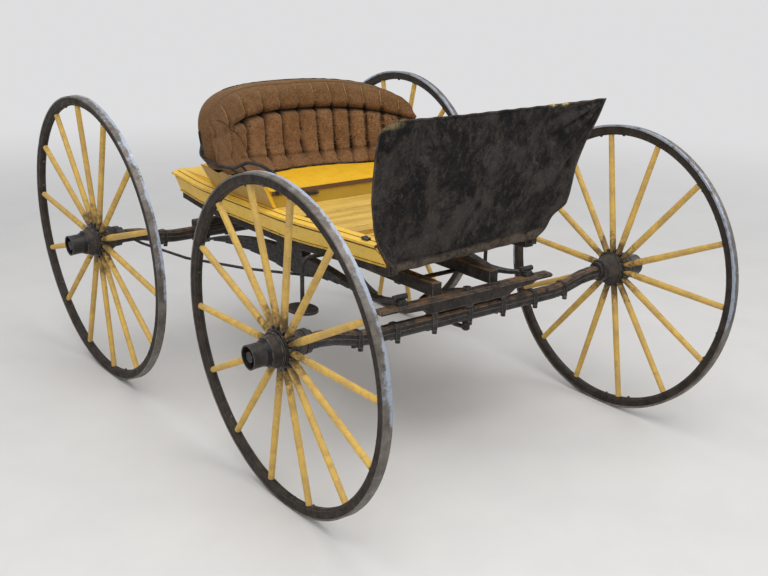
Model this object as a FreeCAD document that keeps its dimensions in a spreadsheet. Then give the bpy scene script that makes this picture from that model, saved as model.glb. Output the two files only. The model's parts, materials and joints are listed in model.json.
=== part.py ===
"""Side-spring road wagon: a light open horse drawn carriage, standing without its shafts.

Millimetres. +Z is up, the wagon faces -Y, and its right side is at -X. The origin is on the
ground below the middle of the bounding box. Every size is a cell of the "sizes" sheet, and
the sketches, primitives and placements are bound to those cells with expressions.
"""
import FreeCAD, Part
import math
import os
import Sketcher
from FreeCAD import Placement, Rotation, Vector

os.makedirs("parts", exist_ok=True)
doc = FreeCAD.newDocument("road_wagon")
sheet = doc.addObject("Spreadsheet::Sheet", "sizes")

# alias, value in millimetres (or degrees, or a count), meaning
SIZES = [
    ("wheelbase", 1280, "front axle to rear axle"),
    ("half_track", 706, "middle of the wagon to the middle of a tyre"),
    ("front_wheel_radius", 508, "40 inch front wheel"),
    ("rear_wheel_extra", 26, "rear wheel's radius over the front wheel's: 42 inches"),
    ("wheel_camber", 3, "degrees that an axle arm dips and its wheel leans out"),
    ("tyre_width", 28, "steel tyre across the tread"),
    ("tyre_thickness", 6, "steel tyre"),
    ("felloe_width", 25, "wooden rim, sideways"),
    ("felloe_depth", 29, "wooden rim, radially"),
    ("spoke_count", 14, "spokes in a wheel"),
    ("spoke_dish", 8, "spoke feet lie this far inboard of the tyre's middle"),
    ("spoke_foot_round", 19, "spoke at the hub, round the wheel"),
    ("spoke_foot_deep", 26, "spoke at the hub, along the axle"),
    ("mortise_gap", 0.5, "room round a spoke's foot in its mortise"),
    ("spoke_neck_width", 25, "widest part of a spoke, just out of the hub"),
    ("spoke_tip_width", 20, "spoke at the rim"),
    ("hub_outboard", 106, "tyre's middle to the end of the nose band"),
    ("hub_inboard", 89, "tyre's middle to the hub's inner end"),
    ("hub_inner_radius", 38, "hub's inner end"),
    ("hub_belly_radius", 52, "hub next to its spoke band"),
    ("spoke_band_radius", 60, "flanged iron band that holds the spoke feet"),
    ("spoke_band_width", 44, "the same band along the axle"),
    ("nose_radius", 36, "nose band outside"),
    ("nose_band_length", 44, "nose band"),
    ("band_thickness", 3, "iron of the hub bands"),
    ("box_thickness", 5, "axle box, the iron sleeve inside the hub"),
    ("arm_root_radius", 16, "axle arm at its collar"),
    ("arm_tip_radius", 12, "axle arm at its nut"),
    ("running_gap", 0.08, "radial gap of a turning fit"),
    ("end_gap", 2, "end play between hub and collar, and hub and nut"),
    ("collar_radius", 30, "axle collar that closes the hub's inner end"),
    ("collar_width", 12, "axle collar"),
    ("nut_radius", 17, "axle nut inside the nose band"),
    ("nut_width", 16, "axle nut"),
    ("axle_iron", 22, "iron axle, height"),
    ("axle_width", 36, "axle and its wooden bed, fore and aft"),
    ("axle_rounding", 7, "rounded edges of axles and bolsters"),
    ("bed_thickness", 22, "wooden bed on an axle"),
    ("axle_drop", 54, "wheel's middle down to the underside of the front axle"),
    ("rear_axle_drop", 52, "the same at the rear axle"),
    ("axle_rise_start", 316, "tyre's middle in to where an axle starts to rise"),
    ("axle_rise_end", 136, "tyre's middle in to where its rise ends"),
    ("clip_width", 17, "axle clip along the axle"),
    ("clip_iron", 3.2, "axle clip"),
    ("clip_spacing", 147, "axle clips"),
    ("clip_nut_radius", 8, "round nuts below the clips"),
    ("clip_nut_height", 11, "the same nuts"),
    ("fifth_wheel_band", 20, "half rings behind the axle that the front gear turns on"),
    ("plate_thickness", 4.5, "the same rings, and the discs round the king bolt"),
    ("plate_gap", 0.5, "gap between the lower and upper rings"),
    ("plate_disc_radius", 24, "discs round the king bolt"),
    ("king_bolt_radius", 8, "bolt that the front gear turns on"),
    ("bolster_height", 43, "wooden bolster above the front axle"),
    ("bolster_end_height", 14, "thin tongues at the ends of the front bolster"),
    ("bolster_width", 44, "bolsters, fore and aft"),
    ("bolster_overhang", 97, "spring's middle to the end of the front bolster"),
    ("rear_bolster_overhang", 32, "spring's middle to the end of the rear bolster"),
    ("perch_offset", 120, "middle of the wagon to a perch"),
    ("perch_width", 36, "perch, sideways"),
    ("perch_height", 42, "perch"),
    ("stay_radius", 5, "round iron stays from the rear axle to the perches"),
    ("spring_inset", 42, "body's bottom edge in to the middle of a side spring"),
    ("spring_width", 38, "side spring, sideways"),
    ("leaf_thickness", 11, "one spring leaf"),
    ("leaf_count", 7, "leaves in a side spring"),
    ("spring_radius", 2000, "curve of the top leaf"),
    ("spring_front_reach", 410, "crown of the top leaf to the start of its reversed end"),
    ("spring_arch", 32, "top leaf's crown above the bolsters"),
    ("spring_ahead", 30, "the crown ahead of the middle of the wheelbase"),
    ("hanger_thickness", 9, "iron that hangs a spring's rear end"),
    ("body_half_bottom", 310, "half the body across its bottom edge"),
    ("body_flare", 33, "how far each side leans out"),
    ("body_side", 81, "height of a side below its cap"),
    ("bead", 7, "half-round bead along a side's bottom edge"),
    ("cap_lip", 6, "how far the cap stands out over the side"),
    ("body_board", 16, "body boards"),
    ("body_cap", 38, "sloping cap along a side"),
    ("body_above_bolsters", 85, "bolsters to the body's bottom edge at its lowest"),
    ("body_front", 621, "body ahead of the middle of the wheelbase"),
    ("body_rear", 717, "body behind the middle of the wheelbase"),
    ("toe_slope", 21, "how much further back the cap ends than the bottom edge"),
    ("floor_height", 89, "top of the floor above the body's bottom edge"),
    ("floor_thickness", 12, "lower floor, which runs on to the dash"),
    ("upper_floor", 14, "cross boards that raise the floor by the seat"),
    ("upper_floor_front", 385, "their front edge ahead of the middle of the wheelbase"),
    ("floor_groove", 3, "joint between two of the cross boards"),
    ("deck_thickness", 16, "deck behind the seat"),
    ("sill_height", 28, "dark sills below the body"),
    ("sill_width", 34, "the same sills"),
    ("seat_front", 20, "seat board's front edge behind the middle of the wheelbase"),
    ("seat_depth", 420, "seat box, fore and aft"),
    ("seat_overhang", 8, "seat box beyond the body's bottom edge"),
    ("seat_flare", 40, "how far the seat box leans out"),
    ("cap_rise", 10, "how much the cap's inner edge stands above its outer edge"),
    ("seat_box_height", 83, "seat box"),
    ("seat_board_height", 58, "top of the seat board above the foot of the seat box"),
    ("seat_board_thickness", 16, "seat board"),
    ("back_sweep_radius", 535, "plan curve of the seat back's inside at the seat"),
    ("back_lean", 14, "degrees that the back leans out"),
    ("back_height", 306, "seat board to the top of the padded back"),
    ("back_round", 3, "power of the back's outline: 2 is an oval, more is squarer"),
    ("back_pad_thickness", 70, "padded back"),
    ("back_foot", 28, "how far the pad's foot stands forward of its face"),
    ("back_board", 10, "bent board behind the pad"),
    ("back_overhang", 137, "foot of the seat box out to the end of the back"),
    ("back_foot_inset", 73, "foot of the seat box in to the end of the back's foot"),
    ("rail_radius", 6, "round iron of the arm rails"),
    ("dash_gap", 37, "body's lowest edge to the dash's lower edge"),
    ("dash_height", 475, "dash, upright"),
    ("dash_ahead", 20, "body's front end to the dash's lower edge"),
    ("dash_spread", 147, "how much wider each way the dash is at its top"),
    ("dash_lean", 14, "degrees that the dash leans forward"),
    ("dash_iron", 5, "radius of the dash frame's iron"),
    ("dash_leather", 3, "dash leather"),
    ("step_drop", 168, "body's bottom edge to the top of a step pad"),
    ("step_reach", 90, "body's bottom edge out to the middle of a step pad"),
    ("step_ahead", 287, "step ahead of the middle of the wheelbase"),
    ("step_length", 124, "step pad, fore and aft"),
    ("step_pad_width", 96, "step pad, sideways"),
    ("step_thickness", 8, "step pad"),
    ("step_iron", 7, "radius of a step's stem"),
]
for row, (alias, number, meaning) in enumerate(SIZES, start=1):
    sheet.set(f"A{row}", meaning)
    sheet.set(f"B{row}", str(number))
    sheet.setAlias(f"B{row}", alias)
doc.recompute()

SIDES = (("right", -1), ("left", 1))
nodes = []


def value(expression):
    """A number worked out by the document's own expression engine."""
    return float(sheet.evalExpression(str(expression)))


def S(alias):
    return value(f"sizes.{alias}")


# Places that several pieces share, as expressions on the sheet.
MID_Y = "(-sizes.rear_wheel_extra / 2)"
FRONT_Y = f"({MID_Y} - sizes.wheelbase / 2)"
REAR_Y = f"({MID_Y} + sizes.wheelbase / 2)"
REAR_RADIUS = "(sizes.front_wheel_radius + sizes.rear_wheel_extra)"
AXLES = {
    "front": {"y": FRONT_Y, "hub": "sizes.front_wheel_radius * cos(sizes.wheel_camber)",
              "radius": "sizes.front_wheel_radius", "drop": "sizes.axle_drop"},
    "rear": {"y": REAR_Y, "hub": f"{REAR_RADIUS} * cos(sizes.wheel_camber)",
             "radius": REAR_RADIUS, "drop": "sizes.rear_axle_drop"},
}
for axle in AXLES.values():
    axle["bed_top"] = (f"({axle['hub']} - {axle['drop']} + sizes.axle_iron"
                       " + sizes.bed_thickness)")
FRONT_BED_TOP = AXLES["front"]["bed_top"]
PLATE_LOW = f"({FRONT_BED_TOP} + sizes.clip_iron)"
BOLSTER_BOTTOM = f"({PLATE_LOW} + 2 * sizes.plate_thickness + sizes.plate_gap)"
BOLSTER_TOP = f"({BOLSTER_BOTTOM} + sizes.bolster_height)"
SPRING_X = "(sizes.body_half_bottom - sizes.spring_inset)"
SPRING_TOP = f"({BOLSTER_TOP} + sizes.spring_arch)"
BODY_BOTTOM = f"({BOLSTER_TOP} + sizes.body_above_bolsters)"
SEAT_BOTTOM = f"({BODY_BOTTOM} + sizes.body_side + sizes.cap_rise)"
SEAT_TOP = f"({SEAT_BOTTOM} + sizes.seat_board_height)"
BOX_TOP = f"({SEAT_BOTTOM} + sizes.seat_box_height)"
FLOOR_TOP = f"({BODY_BOTTOM} + sizes.floor_height)"
FLOOR_UNDER = f"({FLOOR_TOP} - sizes.upper_floor - sizes.floor_thickness)"


def node(feature, label):
    """Name a finished sub-part. Its Label is the name of its file."""
    feature.Label = label
    nodes.append(feature)
    return feature


def new_body(name):
    return doc.addObject("PartDesign::Body", name)


def new_sketch(body, role, offset="0"):
    """A sketch on one of the body's own origin planes, moved along its normal by offset."""
    sketch = body.newObject("Sketcher::SketchObject", body.Name + "_sketch")
    plane = next(item for item in body.Origin.OriginFeatures if item.Role == role)
    sketch.AttachmentSupport = [(plane, "")]
    sketch.MapMode = "FlatFace"
    sketch.AttachmentOffset = Placement(Vector(0, 0, value(offset)), Rotation())
    sketch.setExpression("AttachmentOffset.Base.z", str(offset))
    return sketch


def bind_point(sketch, geometry, position, x, y):
    """Hold a sketch point at two expressions from the sketch's origin."""
    for kind, expression in (("DistanceX", x), ("DistanceY", y)):
        index = sketch.addConstraint(
            Sketcher.Constraint(kind, -1, 1, geometry, position, value(expression)))
        sketch.setExpression(f"Constraints[{index}]", str(expression))


def polygon(sketch, corners):
    """A closed outline of straight lines, every corner bound to the sheet."""
    points = [Vector(value(x), value(y), 0) for x, y in corners]
    first = sketch.GeometryCount
    count = len(points)
    for index in range(count):
        sketch.addGeometry(Part.LineSegment(points[index], points[(index + 1) % count]), False)
    for index in range(count):
        following = first + (index + 1) % count
        sketch.addConstraint(Sketcher.Constraint("Coincident", first + index, 2, following, 1))
    for index, (x, y) in enumerate(corners):
        bind_point(sketch, first + index, 1, x, y)


def circle(sketch, x, y, radius):
    geometry = sketch.addGeometry(
        Part.Circle(Vector(value(x), value(y), 0), Vector(0, 0, 1), value(radius)), False)
    bind_point(sketch, geometry, 3, x, y)
    index = sketch.addConstraint(Sketcher.Constraint("Radius", geometry, value(radius)))
    sketch.setExpression(f"Constraints[{index}]", str(radius))


def ellipse(sketch, x, y, half_width, half_height):
    """An upright or lying ellipse with both half sizes bound to the sheet."""
    centre = Vector(value(x), value(y), 0)
    wide, high = value(half_width), value(half_height)
    lying = wide >= high
    end_major = centre + (Vector(wide, 0, 0) if lying else Vector(0, high, 0))
    end_minor = centre + (Vector(0, high, 0) if lying else Vector(-wide, 0, 0))
    geometry = sketch.addGeometry(Part.Ellipse(end_major, end_minor, centre), False)
    sketch.exposeInternalGeometry(geometry)
    bind_point(sketch, geometry, 3, x, y)
    sketch.addConstraint(
        Sketcher.Constraint("Horizontal" if lying else "Vertical", geometry + 1))
    lengths = (half_width, half_height) if lying else (half_height, half_width)
    for axis, length in enumerate(lengths, start=1):
        index = sketch.addConstraint(
            Sketcher.Constraint("Distance", geometry + axis, 2 * value(length)))
        sketch.setExpression(f"Constraints[{index}]", f"2 * ({length})")


def oval(sketch, x, y, half_width, half_height, sides=10):
    """An oval as an even-sided outline, which lofts cleanly."""
    corners = []
    for step in range(sides):
        angle = 2 * math.pi * (step + 0.5) / sides
        corners.append((f"{x} + ({half_width}) * {math.cos(angle):.5f}",
                        f"{y} + ({half_height}) * {math.sin(angle):.5f}"))
    polygon(sketch, corners)


def pad(body, sketch, length, centred=True, reverse=False):
    feature = body.newObject("PartDesign::Pad", body.Name + "_pad")
    feature.Profile = sketch
    feature.SideType = "Symmetric" if centred else "One side"
    feature.Reversed = reverse
    feature.setExpression("Length", str(length))
    body.Tip = feature
    return feature


def revolve(body, sketch, angle="360", axis="V_Axis", centred=False):
    feature = body.newObject("PartDesign::Revolution", body.Name + "_revolution")
    feature.Profile = sketch
    feature.ReferenceAxis = (sketch, [axis])
    feature.Midplane = centred
    feature.setExpression("Angle", str(angle))
    body.Tip = feature
    return feature


def loft(body, sketches, ruled=True):
    feature = body.newObject("PartDesign::AdditiveLoft", body.Name + "_loft")
    feature.Profile = sketches[0]
    feature.Sections = sketches[1:]
    feature.Ruled = ruled
    body.Tip = feature
    return feature


def polar(body, feature, count):
    """Repeat a feature round the body's Z axis."""
    pattern = body.newObject("PartDesign::PolarPattern", body.Name + "_pattern")
    pattern.Originals = [feature]
    axis = next(item for item in body.Origin.OriginFeatures if item.Role == "Z_Axis")
    pattern.Axis = (axis, [""])
    pattern.Angle = 360
    pattern.setExpression("Occurrences", str(count))
    body.Tip = pattern
    return pattern


def put(feature, x="0", y="0", z="0", rotation=Rotation()):
    """Place a feature, its position bound to the sheet."""
    feature.Placement = Placement(Vector(value(x), value(y), value(z)), rotation)
    for name, expression in (("x", x), ("y", y), ("z", z)):
        feature.setExpression(f"Placement.Base.{name}", str(expression))
    return feature


def primitive(kind, name, **sizes):
    """A Part primitive such as Box, Cylinder or Cone, with every size bound to the sheet."""
    feature = doc.addObject(f"Part::{kind}", name)
    for prop, expression in sizes.items():
        feature.setExpression(prop, str(expression))
    return feature


def box(name, x, y, z):
    """A box from three (low, high) pairs of expressions."""
    feature = primitive("Box", name, Length=f"{x[1]} - ({x[0]})", Width=f"{y[1]} - ({y[0]})",
                        Height=f"{z[1]} - ({z[0]})")
    return put(feature, x[0], y[0], z[0])


def fuse(name, features):
    feature = doc.addObject("Part::MultiFuse", name)
    feature.Shapes = features
    return feature


def cut(name, base, tool, kind="Cut"):
    feature = doc.addObject(f"Part::{kind}", name)
    feature.Base = base
    feature.Tool = tool
    return feature


def common(name, base, tool):
    return cut(name, base, tool, "Common")


def shaped(name, shape):
    """A piece whose solid comes from Part's own functions."""
    feature = doc.addObject("Part::Feature", name)
    feature.Shape = shape
    return feature


def bent_rod(points, radius, bend):
    """A round rod along straight runs joined by tangent arcs of the bend radius."""
    edges = []
    start = points[0]
    for before, corner, after in zip(points, points[1:], points[2:]):
        into = (corner - before).normalize()
        out = (after - corner).normalize()
        turn = into.getAngle(out)
        room = 0.45 * min((corner - before).Length, (after - corner).Length)
        reach = min(bend * math.tan(turn / 2), room)
        first = corner - into * reach
        last = corner + out * reach
        inward = (out - into).normalize()
        radius_of_bend = reach / math.tan(turn / 2)
        middle = corner + inward * (radius_of_bend / math.cos(turn / 2) - radius_of_bend)
        edges.append(Part.LineSegment(start, first).toShape())
        edges.append(Part.Arc(first, middle, last).toShape())
        start = last
    edges.append(Part.LineSegment(start, points[-1]).toShape())
    path = Part.Wire(edges)
    heading = (points[1] - points[0]).normalize()
    section = Part.Face(Part.Wire([Part.Circle(points[0], heading, radius).toShape()]))
    return path.makePipe(section)


# ---------------------------------------------------------------- wheels
# Each wheel is drawn about its own Z axis, which points outboard, with z = 0 at the tyre's
# middle, and is then laid over on its axle arm.
# wheel, side, axle, degrees that the spokes are turned
WHEELS = [
    ("front_right", -1, "front", 13.4),
    ("front_left", 1, "front", 15.2),
    ("rear_right", -1, "rear", 3.5),
    ("rear_left", 1, "rear", 9),
]


def outboard(side, turned=0):
    """Turns local +Z into the axle arm's direction, out and slightly down."""
    lean = Rotation(Vector(0, 1, 0), side * (90 + S("wheel_camber")))
    return lean * Rotation(Vector(0, 0, 1), turned)


def on_arm(feature, side, axle, turned=0):
    return put(feature, f"{side} * sizes.half_track", axle["y"], axle["hub"],
               outboard(side, turned))


def make_tyre(name, axle):
    body = new_body(name)
    sketch = new_sketch(body, "XZ_Plane")
    half = "sizes.tyre_width / 2"
    coning = f"({half} * tan(sizes.wheel_camber))"
    inside = f"{axle['radius']} - sizes.tyre_thickness"
    polygon(sketch, [
        (inside, f"-{half}"),
        (f"{axle['radius']} + {coning}", f"-{half}"),
        (f"{axle['radius']} - {coning}", half),
        (inside, half),
    ])
    revolve(body, sketch)
    return body


def make_rim(name, axle):
    body = new_body(name)
    sketch = new_sketch(body, "XZ_Plane")
    outside = f"{axle['radius']} - sizes.tyre_thickness"
    inside = f"{outside} - sizes.felloe_depth"
    half = "sizes.felloe_width / 2"
    rounding = "sizes.felloe_width / 4"
    polygon(sketch, [
        (f"{inside}", f"-({half} - {rounding})"),
        (f"{inside} + {rounding}", f"-{half}"),
        (outside, f"-{half}"),
        (outside, half),
        (f"{inside} + {rounding}", half),
        (f"{inside}", f"{half} - {rounding}"),
    ])
    revolve(body, sketch)
    return body


def make_spokes(name, axle):
    """Oval spokes whose feet wedge into one ring inside the hub's iron band."""
    body = new_body(name)
    ring = new_sketch(body, "XZ_Plane")
    ring_in = "sizes.spoke_band_radius - 18"
    ring_out = "sizes.spoke_band_radius - 8"
    half_deep = "sizes.spoke_foot_deep / 2"
    polygon(ring, [
        (ring_in, f"-sizes.spoke_dish - {half_deep}"),
        (ring_out, f"-sizes.spoke_dish - {half_deep}"),
        (ring_out, f"-sizes.spoke_dish + {half_deep}"),
        (ring_in, f"-sizes.spoke_dish + {half_deep}"),
    ])
    revolve(body, ring)
    tip = (f"sqrt(({axle['radius']} - sizes.tyre_thickness - sizes.felloe_depth) ^ 2"
           " - (sizes.spoke_tip_width / 2) ^ 2) - 0.2")
    # distance from the axle, share of the dish, width round the wheel, depth along the axle
    sections = [
        ("sizes.spoke_band_radius - 12", 1, "sizes.spoke_foot_round", "sizes.spoke_foot_deep"),
        ("sizes.spoke_band_radius + 2", 1, "sizes.spoke_foot_round", "sizes.spoke_foot_deep"),
        (f"{axle['radius']} / 4", 0.8, "sizes.spoke_neck_width", "sizes.spoke_tip_width"),
        (tip, 0, "sizes.spoke_tip_width", "sizes.spoke_tip_width"),
    ]
    sketches = []
    for radius, share, width, depth in sections:
        sketch = new_sketch(body, "YZ_Plane", radius)
        oval(sketch, "0", f"-sizes.spoke_dish * {share}", f"{width} / 2", f"{depth} / 2")
        sketches.append(sketch)
    polar(body, loft(body, sketches), "sizes.spoke_count")
    return body


BOX_OUTER = "sizes.arm_root_radius + sizes.box_thickness"
BOX_END = "sizes.hub_outboard - sizes.nose_band_length / 2"
BAND_LOW = "-sizes.spoke_dish - sizes.spoke_band_width / 2"
BAND_HIGH = "-sizes.spoke_dish + sizes.spoke_band_width / 2"
CORE = "sizes.spoke_band_radius - 20"


def make_hub(name):
    """The turned wooden hub: an inner and an outer barrel on a core below the spoke ring."""
    body = new_body(name)
    sketch = new_sketch(body, "XZ_Plane")
    polygon(sketch, [
        (BOX_OUTER, "-sizes.hub_inboard"),
        ("sizes.hub_inner_radius - sizes.band_thickness", "-sizes.hub_inboard"),
        ("sizes.hub_inner_radius - sizes.band_thickness", "-sizes.hub_inboard + 16"),
        ("sizes.hub_belly_radius", f"{BAND_LOW} - 8"),
        ("sizes.hub_belly_radius", BAND_LOW),
        (CORE, BAND_LOW),
        (CORE, BAND_HIGH),
        ("sizes.hub_belly_radius", BAND_HIGH),
        ("sizes.hub_belly_radius - 2", f"{BAND_HIGH} + 10"),
        ("sizes.nose_radius + 1", "sizes.hub_outboard - sizes.nose_band_length"),
        ("sizes.nose_radius - sizes.band_thickness",
         "sizes.hub_outboard - sizes.nose_band_length"),
        ("sizes.nose_radius - sizes.band_thickness", BOX_END),
        (BOX_OUTER, BOX_END),
    ])
    revolve(body, sketch)
    return body


def make_hub_irons(name):
    """Iron of a hub: mortised spoke band, nose band, inner band and tapered axle box."""
    band = new_body(name + "_band")
    sketch = new_sketch(band, "XZ_Plane")
    outer = "sizes.spoke_band_radius"
    seat = "sizes.spoke_band_radius - 6"
    polygon(sketch, [
        ("sizes.hub_belly_radius", BAND_LOW),
        (outer, BAND_LOW),
        (outer, f"{BAND_LOW} + 6"),
        (seat, f"{BAND_LOW} + 8"),
        (seat, f"{BAND_HIGH} - 8"),
        (outer, f"{BAND_HIGH} - 6"),
        (outer, BAND_HIGH),
        ("sizes.hub_belly_radius", BAND_HIGH),
    ])
    revolve(band, sketch)
    mortise = new_sketch(band, "YZ_Plane", f"{outer} + 4")
    oval(mortise, "0", "-sizes.spoke_dish", "sizes.spoke_foot_round / 2 + sizes.mortise_gap",
         "sizes.spoke_foot_deep / 2 + sizes.mortise_gap")
    pocket = band.newObject("PartDesign::Pocket", name + "_mortise")
    pocket.Profile = mortise
    pocket.Reversed = False
    pocket.setExpression("Length", f"{outer} - sizes.hub_belly_radius + 8")
    polar(band, pocket, "sizes.spoke_count")

    sleeves = new_body(name + "_sleeves")
    nose = new_sketch(sleeves, "XZ_Plane")
    nose_in = "sizes.nose_radius - sizes.band_thickness"
    polygon(nose, [
        (nose_in, "sizes.hub_outboard - sizes.nose_band_length"),
        ("sizes.nose_radius", "sizes.hub_outboard - sizes.nose_band_length"),
        ("sizes.nose_radius", "sizes.hub_outboard - 5"),
        ("sizes.nose_radius + 1", "sizes.hub_outboard - 4"),
        ("sizes.nose_radius + 1", "sizes.hub_outboard"),
        (nose_in, "sizes.hub_outboard"),
    ])
    revolve(sleeves, nose)

    inner = new_body(name + "_inner")
    ring = new_sketch(inner, "XZ_Plane")
    inner_in = "sizes.hub_inner_radius - sizes.band_thickness"
    polygon(ring, [
        (inner_in, "-sizes.hub_inboard"),
        ("sizes.hub_inner_radius", "-sizes.hub_inboard"),
        ("sizes.hub_inner_radius", "-sizes.hub_inboard + 16"),
        (inner_in, "-sizes.hub_inboard + 16"),
    ])
    revolve(inner, ring)

    sleeve = new_body(name + "_box")
    tube = new_sketch(sleeve, "XZ_Plane")
    polygon(tube, [
        ("sizes.arm_root_radius + sizes.running_gap", "-sizes.hub_inboard"),
        (BOX_OUTER, "-sizes.hub_inboard"),
        (BOX_OUTER, BOX_END),
        ("sizes.arm_tip_radius + sizes.running_gap", BOX_END),
    ])
    revolve(sleeve, tube)
    return fuse(name, [band, sleeves, inner, sleeve])


for wheel, side, axle_name, turned in WHEELS:
    axle = AXLES[axle_name]
    makers = (("tyre", make_tyre, 0), ("rim", make_rim, 0), ("spokes", make_spokes, turned))
    for piece, maker, turn in makers:
        label = f"{wheel}_{piece}"
        node(on_arm(maker(label, axle), side, axle, turn), label)
    node(on_arm(make_hub(f"{wheel}_hub"), side, axle), f"{wheel}_hub")
    irons = make_hub_irons(f"{wheel}_hub_irons")
    node(on_arm(irons, side, axle, turned), f"{wheel}_hub_irons")


# ---------------------------------------------------------------- axles
COLLAR_BACK = "(sizes.half_track - sizes.hub_inboard - sizes.end_gap - sizes.collar_width)"


RISE_START = "(sizes.half_track - sizes.axle_rise_start)"
RISE_LENGTH = "(sizes.axle_rise_start - sizes.axle_rise_end)"
# share of the way out along the rise, share of the height gained there
RISE = [(0, 0), (0.25, 0.15), (0.5, 0.5), (0.75, 0.85), (1, 1)]


def underside(axle, share):
    """Level of an axle's underside, which rises until the axle is centred on the hub."""
    low = f"({axle['hub']} - {axle['drop']})"
    return f"({low} + {share} * ({axle['drop']} - sizes.axle_iron))"


def make_beam(name, axle, low, high, width, end, rounded):
    """A bar level in the middle and rising to the hubs, rounded above (1) or below (-1)."""
    body = new_body(name)
    stations = [(f"{RISE_START} + {along} * {RISE_LENGTH}", share) for along, share in RISE]
    stations.append((end, 1))
    half = f"{width} / 2"
    inset = f"({half} - sizes.axle_rounding)"
    sketches = []
    for side, rows in ((-1, reversed(stations)), (1, stations)):
        for along, share in rows:
            bottom = underside(axle, share)
            flat, far = (low, high) if rounded > 0 else (high, low)
            edge = f"{bottom} + {far} - {rounded} * sizes.axle_rounding"
            sketch = new_sketch(body, "YZ_Plane", f"{side} * ({along})")
            polygon(sketch, [(f"-{half}", f"{bottom} + {flat}"), (half, f"{bottom} + {flat}"),
                             (half, edge), (inset, f"{bottom} + {far}"),
                             (f"-{inset}", f"{bottom} + {far}"), (f"-{half}", edge)])
            sketches.append(sketch)
    loft(body, sketches)
    return put(body, "0", axle["y"], "0")


def make_axle(name, axle):
    """Iron axle: square beam, collars, tapered arms and axle nuts."""
    parts = [make_beam(name + "_beam", axle, "0", "sizes.axle_iron", "sizes.axle_width",
                       f"({COLLAR_BACK} + sizes.collar_width / 2)", -1)]
    back = "-sizes.hub_inboard - sizes.end_gap"
    tip = f"({BOX_END} + sizes.end_gap)"
    for word, side in SIDES:
        collar = primitive("Cylinder", f"{name}_collar_{word}", Radius="sizes.collar_radius",
                           Height="sizes.collar_width")
        arm = primitive("Cone", f"{name}_arm_{word}", Radius1="sizes.arm_root_radius",
                        Radius2="sizes.arm_tip_radius",
                        Height=f"{BOX_END} + sizes.hub_inboard")
        neck = primitive("Cylinder", f"{name}_neck_{word}", Radius="sizes.arm_root_radius",
                         Height="sizes.end_gap + 1")
        thread = primitive("Cylinder", f"{name}_thread_{word}", Radius="sizes.arm_tip_radius",
                           Height="sizes.end_gap + 2")
        nut = primitive("Prism", f"{name}_nut_{word}", Circumradius="sizes.nut_radius",
                        Height="sizes.nut_width")
        nut.Polygon = 6
        starts = ((collar, f"{back} - sizes.collar_width"), (neck, f"{back} - 1"),
                  (arm, "-sizes.hub_inboard"), (thread, BOX_END), (nut, tip))
        for feature, along in starts:
            # the arm's direction is (side * cos, 0, -sin) of the camber
            put(feature,
                f"{side} * (sizes.half_track + ({along}) * cos(sizes.wheel_camber))",
                axle["y"], f"{axle['hub']} - ({along}) * sin(sizes.wheel_camber)",
                outboard(side))
            parts.append(feature)
    return fuse(name, parts)


def king_bolt_hole(name, clearance):
    hole = primitive("Cylinder", name, Radius=f"sizes.king_bolt_radius + {clearance}",
                     Height="400")
    return put(hole, "0", FRONT_Y, "300")


BED = "sizes.axle_iron + sizes.bed_thickness"
node(cut("front_axle_drilled", make_axle("front_axle_solid", AXLES["front"]),
         king_bolt_hole("front_axle_hole", "sizes.running_gap")), "front_axle")
node(make_axle("rear_axle_solid", AXLES["rear"]), "rear_axle")
BED_END = f"({COLLAR_BACK} - 4)"
front_bed = make_beam("front_bed_solid", AXLES["front"], "sizes.axle_iron", BED,
                      "sizes.axle_width", BED_END, 1)
node(cut("front_bed_drilled", front_bed, king_bolt_hole("front_bed_hole", "sizes.running_gap")),
     "front_axle_bed")
rear_bed = make_beam("rear_bed_solid", AXLES["rear"], "sizes.axle_iron", BED,
                     "sizes.axle_width", BED_END, 1)
node(rear_bed, "rear_axle_bed")


def make_clip(name, x, axle, share):
    """One axle clip: a strap round the bed and axle, and two nuts below it."""
    low = f"({underside(axle, share)} - sizes.clip_iron)"
    high = f"({underside(axle, share)} + {BED} + sizes.clip_iron)"
    reach = "(sizes.axle_width / 2 + sizes.clip_iron)"
    inset = f"({reach} - sizes.axle_rounding)"
    strap = new_body(name + "_strap")
    sketch = new_sketch(strap, "YZ_Plane", x)
    polygon(sketch, [(f"-{reach}", low), (reach, low), (reach, f"{high} - sizes.axle_rounding"),
                     (inset, high), (f"-{inset}", high),
                     (f"-{reach}", f"{high} - sizes.axle_rounding")])
    pad(strap, sketch, "sizes.clip_width")
    parts = [put(strap, "0", axle["y"], "0")]
    for end in (-1, 1):
        nut = primitive("Cylinder", f"{name}_nut_{end + 1}", Radius="sizes.clip_nut_radius",
                        Height="sizes.clip_nut_height")
        parts.append(put(nut, x, f"{axle['y']} + {end} * ({reach} - sizes.clip_nut_radius / 2)",
                         f"{low} - sizes.clip_nut_height + 1"))
    return parts


def make_clips(name, axle, places, tool):
    """Clips at the given places, hollowed by the axle and bed that they hold together."""
    parts = []
    for index, (place, share) in enumerate(places):
        parts += make_clip(f"{name}_{index}", place, axle, share)
    return cut(name + "_fitted", fuse(name, parts), tool)


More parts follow.
